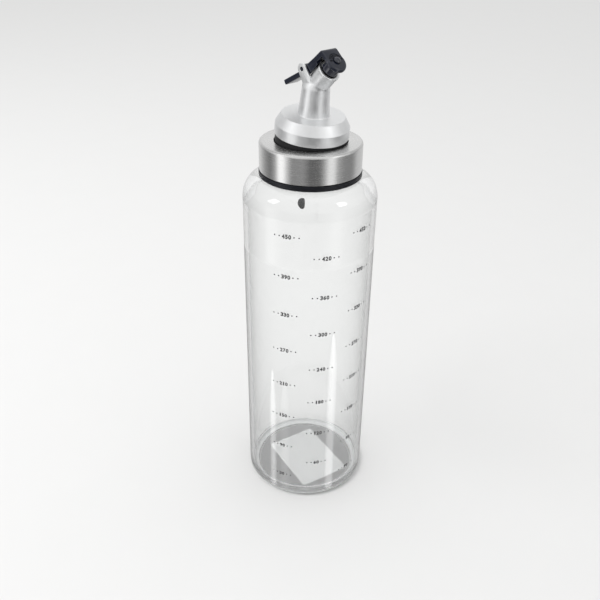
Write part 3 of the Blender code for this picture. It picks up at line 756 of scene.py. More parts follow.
@dataclass
class GlassBottle:
    """Blown glass bottle with a threaded neck, a white ring in its foot's round as a painted highlight, and
    its paper label.
    """

    radius: float = BOTTLE_RADIUS
    wall: float = 2.2
    base: float = 4.3
    base_corner: float = 3.2
    inner_corner: float = 3.0
    hollow_radius: float = 27.6
    hollow_depth: float = 0.8
    hollow_slope: float = 0.8
    hollow_round: float = 0.5
    hollow_edge: float = 0.3
    shoulder_start: float = 168.7
    shoulder_height: float = 10.5
    shoulder_top_radius: float = 24.0
    neck_radius: float = 20.9
    neck_wall: float = 2.6
    neck_length: float = 11.6
    neck_fillet: float = 1.0
    lip_round: float = 1.1
    neck_root: float = 177.5
    neck_drop: float = 0.5
    shoulder_foot: float = 167.0
    shoulder_rise: float = 9.0
    shoulder_pull: float = 3.0
    foot_edge_depth: float = 0.22
    foot_edge_sheet: float = 0.22
    foot_edge_step: float = 0.4
    foot_edge_top: float = -6.0
    foot_gap: float = 0.06
    support: float = 0.2
    thread_pitch: float = 4.0
    thread_height: float = 0.5
    thread_turns: float = 1.7
    thread_start: float = 3.2
    thread_width: float = 0.35
    thread_fade: float = 0.08
    columns: int = 240

    def profile(self) -> tuple[np.ndarray, int, int]:
        """Closed section of the wall, from the middle of the base round to the inner floor.

        Returns:
            The points, and the first and last row of the neck's outer wall.
        """
        top = self.shoulder_start + self.shoulder_height
        height = top + self.neck_length
        bore = self.neck_radius - self.neck_wall
        inside = self.radius - self.wall
        corner, inner, lip, gap = self.base_corner, self.inner_corner, self.lip_round, self.support
        foot = self.foot_gap
        hollow = rounded([(0, self.hollow_depth, 0),
                          (self.hollow_radius - self.hollow_slope, self.hollow_depth, self.hollow_round),
                          (self.hollow_radius, foot, self.hollow_edge), (self.radius - corner, foot, 0)])
        outer = [hollow[:-1], arc((self.radius - corner, corner), corner, corner - foot, -90, 0, 18),
                 straight((self.radius, corner + gap), (self.radius, self.shoulder_start - gap), 40),
                 arc((self.shoulder_top_radius, self.shoulder_start),
                     self.radius - self.shoulder_top_radius, self.shoulder_height, 0, 90, 40),
                 arc((self.neck_radius + self.neck_fillet, top + self.neck_fillet),
                     self.neck_fillet, self.neck_fillet, -90, -180, 8)]
        neck = straight((self.neck_radius, top + (self.neck_fillet + gap)),
                        (self.neck_radius, height - lip - gap), 44)
        start = sum(len(part) for part in outer)
        inner_parts = [arc((self.neck_radius - lip, height - lip), lip, lip, 0, 90, 8),
                       arc((bore + lip, height - lip), lip, lip, 90, 180, 8),
                       straight((bore, top + self.neck_fillet), (bore, self.neck_root + gap), 5),
                       self.inner_shoulder(bore, inside),
                       straight((inside, self.shoulder_foot - gap), (inside, self.base + inner + gap), 40),
                       arc((inside - inner, self.base + inner), inner, inner, 0, -90, 14),
                       straight((inside - inner - gap, self.base), (0.0, self.base), 6)]
        return np.concatenate(outer + [neck] + inner_parts), start, start + len(neck)

    def inner_shoulder(self, bore: float, inside: float) -> np.ndarray:
        """Cubic curve from the bore out to the inner wall that is never level.

        It is (1-t)^3 a + 3 t (1-t)^2 b + 3 t^2 (1-t) c + t^3 d, with b below a and c above d.

        Args:
            bore: Radius of the neck's bore.
            inside: Radius of the inner wall.

        Returns:
            Array of (radius, height) points.
        """
        t = np.linspace(0.0, 1.0, 41)[:, None]
        a, b = np.array([bore, self.neck_root]), np.array([bore, self.neck_root - self.neck_drop])
        d = np.array([inside, self.shoulder_foot])
        c = d + (-self.shoulder_pull, self.shoulder_rise)
        return (1 - t) ** 3 * a + 3 * t * (1 - t) ** 2 * b + 3 * t ** 2 * (1 - t) * c + t ** 3 * d

    def foot_edge(self) -> bpy.types.Object:
        """White ring just under the skin of the foot's round: a painted highlight for the light caught there.

        Returns:
            The ring.
        """
        centre = (self.radius - self.base_corner, self.base_corner)
        reach = self.base_corner - self.foot_edge_depth
        thin = reach - self.foot_edge_sheet
        outer = arc(centre, reach, reach - self.foot_gap, self.foot_edge_top, -90, 18)
        inner = arc(centre, thin, thin - self.foot_gap, -90, self.foot_edge_top, 18)
        foot = self.hollow_radius + self.foot_edge_step
        profile = np.concatenate([outer, [(foot, outer[-1][1]), (foot, inner[0][1])], inner])
        return grid_piece("foot_edge", revolve(profile, self.columns), loop_rows=True)

    def glass(self) -> bpy.types.Object:
        """Turn the section and raise the thread on the neck.

        The thread adds height times max(0, cos(pi d)) to the radius, where d is the distance from
        the helix z = start + pitch (a / 2 pi + n), in shares of the thread's width times the
        pitch, up to 0.5.

        Returns:
            The glass.
        """
        profile, first, last = self.profile()
        grid = revolve(profile, self.columns)
        rows = grid[first:last]
        angle = np.linspace(0, 1, self.columns, endpoint=False)[None, :]
        low = self.shoulder_start + self.shoulder_height + self.thread_start
        turn = (rows[:, :, 2] - low) / self.thread_pitch
        nearest = np.clip(np.round(turn - angle), 0, math.floor(self.thread_turns - 1e-6))
        along = nearest + angle
        distance = (turn - along) / self.thread_width
        ridge = np.maximum(0.0, np.cos(np.pi * np.clip(distance, -0.5, 0.5)))
        fade = np.clip(np.minimum(along, self.thread_turns - along) / self.thread_fade, 0, 1)
        factor = 1 + self.thread_height * ridge * fade / self.neck_radius
        rows[:, :, :2] *= factor[:, :, None]
        return grid_piece("bottle_glass", grid)

    def build(self, fitter: Fitter) -> None:
        """Build the bottle and dress its label.

        Args:
            fitter: What dresses and seats the pieces.
        """
        fitter.fit(self.glass(), CLEAR_GLASS, "bottle", ["glass_bottle"])
        # White ring in the foot's round: painted highlight.
        fitter.fit(self.foot_edge(), FOOT_HIGHLIGHT_WHITE, "bottle", ["glass_bottle"])
        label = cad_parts["base_label"]
        label.data.materials.clear()
        label.data.materials.append(fitter.shop.material(LABEL_PAPER))


@dataclass
class PrintedScale:
    """Millilitre numbers between dots in three columns, printed round the bottle.

    Heights follow z = zero + rise * ml, and a column's angle grows slowly with the height.
    """

    radius: float = BOTTLE_RADIUS
    ink: float = 0.03
    lift: float = 0.01
    zero: float = 4.55
    rise: float = 20.8 / 60
    skew: float = math.radians(0.978) / BOTTLE_RADIUS
    digit_height: float = 2.25
    digit_width: float = 1.4
    digit_step: float = 1.55
    narrow: float = 0.5
    boldness: float = 0.05
    digit_depth: float = 0.01
    near_dot: float = 1.25
    far_dot: float = 3.6
    dot_radius: float = 0.36
    dot_sides: int = 12
    columns: tuple[tuple[float, tuple[int, ...]], ...] = (
        (21.78, (450, 390, 330, 270, 210, 150, 90, 30)),
        (55.35, (420, 360, 300, 240, 180, 120, 60)),
        (89.58, (450, 390, 330, 270, 210, 150, 90, 30)),
    )

    def glyph(self, digit: str) -> tuple[np.ndarray, list[list[int]]]:
        """Outline of one digit as a thin closed solid, fitted to the digit's box.

        Args:
            digit: The digit.

        Returns:
            Points with the ink's depth in Z, and faces.
        """
        curve = bpy.data.curves.new("digit", "FONT")
        curve.body = digit
        curve.extrude = self.digit_depth
        curve.offset = self.boldness
        curve.resolution_u = 4
        holder = in_scene("digit", curve)
        seen = holder.evaluated_get(bpy.context.evaluated_depsgraph_get())
        mesh = bpy.data.meshes.new_from_object(seen)
        points = np.empty(len(mesh.vertices) * 3)
        mesh.vertices.foreach_get("co", points)
        points = points.reshape(-1, 3)
        faces = [list(face.vertices) for face in mesh.polygons]
        bpy.data.objects.remove(holder)
        bpy.data.curves.remove(curve)
        bpy.data.meshes.remove(mesh)
        low, high = points.min(axis=0), points.max(axis=0)
        width = self.digit_width * (self.narrow if digit == "1" else 1.0)
        scaled = (points - (low + high) / 2) / (high - low)
        return scaled * (width, self.digit_height, self.ink), faces

    def dot(self) -> tuple[np.ndarray, list[list[int]]]:
        """One round dot as a thin closed solid.

        Returns:
            Points with the ink's depth in Z, and faces.
        """
        count = self.dot_sides
        angle = np.linspace(0, 2 * np.pi, count, endpoint=False)
        ring = np.stack([self.dot_radius * np.cos(angle), self.dot_radius * np.sin(angle), 0 * angle], axis=1)
        points = np.concatenate([ring - (0, 0, self.ink / 2), ring + (0, 0, self.ink / 2)])
        faces = [list(range(count - 1, -1, -1)), list(range(count, 2 * count))]
        faces += [[i, (i + 1) % count, count + (i + 1) % count, count + i] for i in range(count)]
        return points, faces

    def print_piece(self) -> bpy.types.Object:
        """Lay every mark out flat, then wrap it: x turns into an angle x / radius, y into height.

        Returns:
            The print.
        """
        glyphs = {digit: self.glyph(digit) for digit in "0123456789"}
        dot = self.dot()
        points: list[np.ndarray] = []
        faces: list[list[int]] = []
        count = 0
        for column, values in self.columns:
            for value in values:
                text = str(value)
                half = self.digit_step * len(text) / 2
                parts = [(glyphs[digit], (i + 0.5) * self.digit_step - half) for i, digit in enumerate(text)]
                parts += [(dot, side * (half + gap)) for side in (-1, 1)
                          for gap in (self.near_dot, self.far_dot)]
                middle = self.zero + self.rise * value
                for (shape, sides), shift in parts:
                    height = shape[:, 1] + middle
                    angle = math.radians(column) + self.skew * height + (shape[:, 0] + shift) / self.radius
                    reach = self.radius + self.lift + self.ink / 2 + shape[:, 2]
                    points.append(np.stack([reach * np.sin(angle), -reach * np.cos(angle), height], axis=1))
                    faces += [[corner + count for corner in side] for side in sides]
                    count += len(shape)
        mesh = bpy.data.meshes.new("scale_print")
        mesh.from_pydata((np.concatenate(points) * MM).tolist(), [], faces)
        return finished("scale_print", mesh)

    def build(self, fitter: Fitter) -> None:
        """Build the print."""
        fitter.fit(self.print_piece(), SCALE_INK, "bottle")


@dataclass
class ScrewCap:
    """Steel sleeve, black liner with its thread, and silicone gasket."""

    sleeve_radius: float = 24.35
    sheet: float = 0.6
    sleeve_round: float = 1.3
    sleeve_base: float = 182.3
    sleeve_top: float = CAP_TOP
    hole: float = STOPPER_HEAD / math.cos(POURER_LEAN) + SEAT_GAP
    liner_hole_step: float = 0.25
    ring_radius: float = 24.58
    ring_base: float = 179.5
    ring_height: float = 2.5
    ring_round: float = 0.45
    liner_radius: float = 23.45
    liner_bore: float = 21.65
    ceiling: float = 192.9
    plate: float = 2.0
    gasket_bore: float = 18.3
    gasket_radius: float = 21.3
    gasket_base: float = 191.1
    gasket: float = 1.5
    columns: int = 240

    def sleeve(self) -> bpy.types.Object:
        """Deep-drawn steel cup with rolled edges.

        Returns:
            The sleeve.
        """
        inside = self.sleeve_radius - self.sheet
        under = self.sleeve_top - self.sheet
        edge = self.sheet * 0.35
        profile = rounded([(inside, self.sleeve_base, edge), (self.sleeve_radius, self.sleeve_base, edge),
                           (self.sleeve_radius, self.sleeve_top, self.sleeve_round),
                           (self.hole, self.sleeve_top, edge), (self.hole, under, edge),
                           (inside, under, self.sleeve_round - self.sheet)], closed=True)
        return grid_piece("steel_sleeve", revolve(profile, self.columns), loop_rows=True)

    def liner(self) -> bpy.types.Object:
        """Moulded liner with the ring that shows under the sleeve.

        Returns:
            The liner.
        """
        ring_top = self.ring_base + self.ring_height
        top = self.ceiling + self.plate
        hole = self.hole + self.liner_hole_step
        profile = rounded([(self.liner_bore, self.ring_base, 0.2),
                           (self.ring_radius, self.ring_base, self.ring_round),
                           (self.ring_radius, ring_top, 0.2), (self.liner_radius, ring_top, 0.1),
                           (self.liner_radius, top, 1.2), (hole, top, 0.2), (hole, self.ceiling, 0.2),
                           (self.liner_bore, self.ceiling, 0.3)], closed=True)
        return grid_piece("cap_ring", revolve(profile, self.columns), loop_rows=True)

    def washer(self) -> bpy.types.Object:
        """Flat silicone washer with softened edges.

        Returns:
            The washer.
        """
        top = self.gasket_base + self.gasket
        profile = rounded([(self.gasket_bore, self.gasket_base, 0.3),
                           (self.gasket_radius, self.gasket_base, 0.3),
                           (self.gasket_radius, top, 0.3), (self.gasket_bore, top, 0.3)], closed=True)
        return grid_piece("silicone_washer", revolve(profile, self.columns // 2), loop_rows=True)

    def build(self, fitter: Fitter) -> None:
        """Build the cap's three pieces.

        Args:
            fitter: What dresses and seats the pieces.
        """
        fitter.fit(self.sleeve(), BRUSHED_STEEL, "cap", ["cap_sleeve"])
        fitter.fit(self.liner(), RING_PLASTIC, "cap", ["cap_liner"])
        fitter.fit(self.washer(), CLEAR_SILICONE, "gasket", ["cap_gasket"])


@dataclass
class PourerFrame:
    """Where the pourer stands: its axis leans toward the mouth and meets the cap's top.

    A point (x, y, z) of the pourer lies at (x cos l + h sin l, y, cap top - x sin l + h cos l),
    with h = z + rise and l the lean.
    """

    lean: float = POURER_LEAN
    rise: float = 2.9
    cap_top: float = CAP_TOP
    mouth: tuple[float, float] = (7.0, 31.1)
    mouth_angle: float = math.radians(55.0)
    tube_angle: float = math.radians(51.5)
    tube_radius: float = 4.95
    pin: tuple[float, float] = (-5.0, 29.15)

    @property
    def mouth_axis(self) -> np.ndarray:
        """Way out of the mouth."""
        return np.array([math.cos(self.mouth_angle), math.sin(self.mouth_angle)])

    @property
    def mouth_down(self) -> np.ndarray:
        """Way across the mouth, toward its lower lip."""
        return np.array([self.mouth_axis[1], -self.mouth_axis[0]])

    @property
    def tube_axis(self) -> np.ndarray:
        """Way along the tube."""
        return np.array([math.cos(self.tube_angle), math.sin(self.tube_angle)])

    @property
    def elbow(self) -> np.ndarray:
        """Where the tube's axis meets the stem's."""
        return np.array([0.0, self.mouth[1] - self.mouth[0] * math.tan(self.tube_angle)])

    def leaned(self, grid: np.ndarray) -> np.ndarray:
        """Carry points of the pourer to their place on the cruet.

        Args:
            grid: Points in the pourer's own frame.

        Returns:
            The points in the cruet's frame.
        """
        x, y, height = grid[..., 0], grid[..., 1], grid[..., 2] + self.rise
        cosine, sine = math.cos(self.lean), math.sin(self.lean)
        return np.stack([x * cosine + height * sine, y, self.cap_top - x * sine + height * cosine], axis=-1)

    def on_mouth(self, profile: np.ndarray, columns: int) -> np.ndarray:
        """Turn a profile round the mouth's axis, with heights counted from the rim."""
        return carried(*turned(profile, self.mouth, self.mouth_axis, columns))


@dataclass
class PourerCasting:
    """Cast metal pourer: collar, spigot, stem and slanted mouth in one skin, and two ears."""

    place: PourerFrame
    collar_radius: float = 17.3
    collar_band: float = 4.9
    collar_top_radius: float = 14.7
    collar_height: float = 9.3
    collar_wall: float = 1.8
    spigot_radius: float = 8.6
    spigot_bore: float = 7.1
    spigot_length: float = 7.4
    stem_base_radius: float = 7.15
    stem_foot: float = 10.0
    stem_top_radius: float = 6.35
    stem_height: float = 21.0
    stem_dome: float = 6.0
    turned_top: float = 15.0
    bend: float = 4.6
    soft_union: float = 0.7
    mouth_radius: float = 5.1
    mouth_bore: float = 3.3
    tube_channel: float = 3.4
    channel: float = 4.2
    ear_radius: float = 2.5
    ear_inner: float = 4.15
    ear_thickness: float = 1.0
    ear_edge: float = 0.28
    ear_lip: float = 0.12
    pin_bore: float = 0.95
    ear_back_foot: tuple[float, float] = (-2.9, 22.6)
    ear_front_foot: tuple[float, float] = (0.4, 27.2)
    ear_root: tuple[float, float] = (1.9, 23.1)
    rim_root: tuple[float, float] = (4.97, -1.1)
    rim_shoulder: float = -0.95
    rim_flat: float = 0.75
    rim_chamfer: float = -0.7
    rim_depth: float = -3.0
    tip_setback: float = 1.15
    channel_taper: float = 4.0
    channel_inset: int = 8
    channel_stride: int = 2
    rise_rows: int = 14
    bend_rows: int = 46
    reach_rows: int = 22
    turn_rows: int = 14
    columns: int = 168

    def stem_radius(self, z: float | np.ndarray) -> float | np.ndarray:
        """Radius of the stem's cone at a height."""
        fall = (z - self.stem_foot) / (self.stem_height - self.stem_foot)
        return self.stem_base_radius + (self.stem_top_radius - self.stem_base_radius) * fall

    def skin_distance(self, x: np.ndarray, y: np.ndarray, z: np.ndarray) -> np.ndarray:
        """Distance to the stem and the tube joined softly.

        The stem is a cone, r minus a radius that falls evenly with z, and above its height an
        ellipsoid. The tube is a round bar from the elbow on. The soft union of distances a and b
        is min(a, b) - k q^2 / 4, with q = max(0, 1 - |a - b| / k) and k the softness.

        Args:
            x: X of the points in the pourer's frame.
            y: Their Y.
            z: Their Z.

        Returns:
            The distances, below 0 inside.
        """
        r = np.sqrt(x ** 2 + y ** 2)
        cone = r - self.stem_radius(z)
        over = np.maximum(z - self.stem_height, 0.0)
        dome = (np.sqrt((r / self.stem_top_radius) ** 2 + (over / self.stem_dome) ** 2) - 1) * self.stem_dome
        stem = np.where(z > self.stem_height, dome, cone)
        axis, elbow = self.place.tube_axis, self.place.elbow
        along = np.maximum((x - elbow[0]) * axis[0] + (z - elbow[1]) * axis[1], 0.0)
        tube = np.sqrt((x - elbow[0] - along * axis[0]) ** 2 + y ** 2 + (z - elbow[1] - along * axis[1]) ** 2)
        tube = tube - self.place.tube_radius
        q = np.maximum(0.0, 1 - np.abs(stem - tube) / self.soft_union)
        return np.minimum(stem, tube) - self.soft_union * q ** 2 / 4

    def path(self) -> tuple[np.ndarray, np.ndarray]:
        """Centre line from the turned part up the stem, round the bend and along the tube.

        Returns:
            Points and unit directions, both as (x, z).
        """
        elbow, axis, final = self.place.elbow, self.place.tube_axis, self.place.mouth_axis
        tip = np.array(self.place.mouth) - self.tip_setback * final
        rise = straight((0.0, self.turned_top), elbow - (0, self.bend), self.rise_rows)
        curve = bow(elbow - (0, self.bend), elbow, elbow + self.bend * axis, self.bend_rows)
        reach = straight(elbow + self.bend * axis, tip, self.reach_rows)
        points = np.concatenate([rise, curve[1:], reach[1:]])
        ways = np.gradient(points, axis=0)
        ways /= np.linalg.norm(ways, axis=1, keepdims=True)
        ways[:len(rise)] = UP
        share = np.linspace(0, 1, self.turn_rows)[:, None]
        ways[-self.turn_rows:] = ways[-self.turn_rows:] * (1 - share) + final * share
        return points, ways / np.linalg.norm(ways, axis=1, keepdims=True)

    def cast_skin(self, points: np.ndarray, ways: np.ndarray) -> np.ndarray:
        """Radii at which rays from the centre line leave the soft union, found by halving.

        Args:
            points: Points of the centre line as (x, z).
            ways: Its unit directions there.

        Returns:
            Radii, one row per point and one column per angle.
        """
        steps = np.linspace(2.0, 12.0, 120)
        inside = np.full((len(points), self.columns), steps[0])
        found = np.zeros_like(inside, dtype=bool)

        def depth(radii: np.ndarray) -> np.ndarray:
            """Distance to the skin at these radii."""
            grid = carried(points, ways, radii)
            return self.skin_distance(grid[..., 0], grid[..., 1], grid[..., 2])

        for step in steps[1:]:
            out = depth(np.full_like(inside, step)) > 0
            found |= out
            inside = np.where(found, inside, step)
        low, high = inside, inside + (steps[1] - steps[0])
        for _ in range(24):
            middle = (low + high) / 2
            out = depth(middle) > 0
            low, high = np.where(out, low, middle), np.where(out, middle, high)
        return (low + high) / 2

    def skin(self) -> bpy.types.Object:
        """One closed skin: turned collar, cast stem and tube, rim, and the channel back down.

        Returns:
            The skin.
        """
        wall_in, wall_out = self.spigot_radius + self.collar_wall, self.collar_radius - self.collar_wall
        band, bore, spigot = self.collar_band, self.spigot_bore, -self.spigot_length
        collar = rounded([
            (bore, spigot, 0.2), (self.spigot_radius, spigot, 0.3), (self.spigot_radius, 0.0, 0.1),
            (wall_in, 0.0, 0.1), (wall_in, band, 0.5), (wall_out, band, 0.5), (wall_out, 0.0, 0.1),
            (self.collar_radius, 0.0, 0.2), (self.collar_radius, band, 0.35),
            (self.collar_top_radius, self.collar_height, 0.4),
            (self.stem_base_radius + 0.1, self.collar_height, 0.7),
            (self.stem_radius(self.turned_top), self.turned_top, 0)])
        rim = rounded([(*self.rim_root, 0), (self.mouth_radius, self.rim_shoulder, 0.1),
                       (self.mouth_radius, 0.0, 0.5), (self.mouth_bore + self.rim_flat, 0.0, 0.15),
                       (self.mouth_bore, self.rim_chamfer, 0.2), (self.mouth_bore, self.rim_depth, 0)],
                      support=0.06)
        funnel = rounded([(self.channel, self.turned_top - 1, 0),
                          (self.channel, self.collar_height - self.collar_wall, 0.5),
                          (bore, band, 0.5), (bore, spigot + 0.6, 0)])
        points, ways = self.path()
        back = slice(len(points) - self.channel_inset, self.rise_rows + self.channel_stride,
                     -self.channel_stride)
        share = np.clip((points[back, 1:] - self.stem_height) / self.channel_taper, 0, 1)
        channel = self.channel + (self.tube_channel - self.channel) * share
        stretches = (turned(collar, (0.0, 0.0), UP, self.columns),
                     (points[1:], ways[1:], self.cast_skin(points, ways)[1:]),
                     turned(rim, self.place.mouth, self.place.mouth_axis, self.columns),
                     (points[back], ways[back], np.repeat(channel, self.columns, axis=1)),
                     turned(funnel, (0.0, 0.0), UP, self.columns))
        grid = carried(*(np.concatenate(parts) for parts in zip(*stretches)))
        return grid_piece("pourer_casting", self.place.leaned(grid), loop_rows=True)

    def ear(self, side: Side) -> bpy.types.Object:
        """Pivot ear: rays from the pin reach the lug's outline, and a rounded section runs round them.

        Args:
            side: Side of the pourer that it stands on.

        Returns:
            The ear.
        """
        pin = np.array(self.place.pin)
        back, front, root = (np.array(p) for p in (self.ear_back_foot, self.ear_front_foot, self.ear_root))
        left = self.tangent(pin, back, -1)
        right = self.tangent(pin, front, 1)
        start = math.degrees(math.atan2(left[1] - pin[1], left[0] - pin[0])) % 360
        end = math.degrees(math.atan2(right[1] - pin[1], right[0] - pin[0]))
        lug = arc(pin, self.ear_radius, self.ear_radius, start, end, 40)
        outline = np.concatenate([lug, straight(right, front, 10)[1:], straight(front, root, 6)[1:],
                                  straight(root, back, 8)[1:], straight(back, left, 12)[1:-1]])
        away = outline - pin
        reach = np.linalg.norm(away, axis=1)[:, None]
        unit = away / reach
        half, edge, lip, hole = self.ear_thickness / 2, self.ear_edge, self.ear_lip, self.pin_bore
        inset = [(edge * (1 - math.sin(a)), half - edge * (1 - math.cos(a)))
                 for a in np.radians(np.linspace(0, 90, 5))]
        rings = [(unit * (hole + lip), -half), (unit * hole, -half + lip), (unit * hole, half - lip),
                 (unit * (hole + lip), half)]
        rings += [(unit * (reach - shrink), y) for shrink, y in inset]
        rings += [(unit * (reach - shrink), -y) for shrink, y in inset[::-1]]
        middle = side.value * (self.ear_inner + half)
        grid = np.stack([np.stack([pin[0] + ring[:, 0], np.full(len(ring), middle + y),
                                   pin[1] + ring[:, 1]], axis=-1) for ring, y in rings])
        return grid_piece(f"ear_{side.name.lower()}", self.place.leaned(grid), loop_rows=True)

    def tangent(self, centre: np.ndarray, outside: np.ndarray, turn: int) -> np.ndarray:
        """Where a line from an outside point touches the lug.

        Args:
            centre: Centre of the lug as (x, z).
            outside: The outside point.
            turn: 1 for the touch counterclockwise of the outside point, -1 for the other one.

        Returns:
            The touch as (x, z).
        """
        away = outside - centre
        heading = math.atan2(away[1], away[0]) + turn * math.acos(self.ear_radius / np.linalg.norm(away))
        return centre + self.ear_radius * np.array([math.cos(heading), math.sin(heading)])

    def build(self, fitter: Fitter) -> None:
        """Build the casting."""
        for piece in (self.skin(), *(self.ear(side) for side in Side)):
            fitter.fit(piece, SATIN_CASTING, "pourer", ["pourer_body"])


@dataclass
class Stopper:
    """Rubber stopper with its ribs, and the air tube through it."""

    place: PourerFrame
    head_radius: float = STOPPER_HEAD
    head: float = 5.2
    core: float = 15.8
    taper: float = 0.3
    rib: float = 0.8
    pitch: float = 3.2
    ribs: int = 4
    socket_radius: float = 8.9
    socket_floor: float = -7.7
    top: float = -SEAT_GAP
    vent_radius: float = 2.05
    vent_bore: float = 1.35
    vent_x: float = -3.0
    vent_top: float = -5.5
    vent_depth: float = 34.4
    vent_cut: float = math.radians(27.0)
    columns: int = 160

    def plug(self) -> bpy.types.Object:
        """Rubber body; each rib is a rounded ridge below the head.

        Returns:
            The body.
        """
        base = self.top - self.head
        corners = [(self.socket_radius, self.socket_floor, 0), (self.socket_radius, self.top, 0.4),
                   (self.head_radius, self.top, 0.35), (self.head_radius, base, 0.4)]
        for i in range(self.ribs):
            core = self.core - self.taper * i
            groove = base - self.pitch * (i + 0.25)
            corners += [(core, groove, 0.25), (core + self.rib, groove - self.pitch / 2, 0.3)]
        foot = groove - self.pitch
        corners += [(core, foot, 0.4), (0.0, foot, 0)]
        profile = np.concatenate([[(0.0, self.socket_floor)], rounded(corners)])
        return grid_piece("rubber_stopper", self.place.leaned(revolve(profile, self.columns)))

    def vent(self) -> bpy.types.Object:
        """Air tube whose lower end is cut slantwise: z rises by (r - x) tan(cut) there.

        Returns:
            The tube.
        """
        wall = rounded([(self.vent_bore, -self.vent_depth, 0.12), (self.vent_radius, -self.vent_depth, 0.12),
                        (self.vent_radius, self.vent_top, 0.15), (self.vent_bore, self.vent_top, 0.15)],
                       closed=True)
        grid = revolve(wall, 64)
        low = grid[..., 2] < -self.vent_depth / 2
        grid[..., 2] += np.where(low, (self.vent_radius - grid[..., 0]) * math.tan(self.vent_cut), 0.0)
        grid[..., 0] += self.vent_x
        return grid_piece("air_tube", self.place.leaned(grid), loop_rows=True)

    def build(self, fitter: Fitter) -> None:
        """Build the stopper and the air tube."""
        fitter.fit(self.plug(), BLACK_RUBBER, "pourer", ["stopper"])
        fitter.fit(self.vent(), BLACK_RUBBER, "pourer", ["vent_tube"])


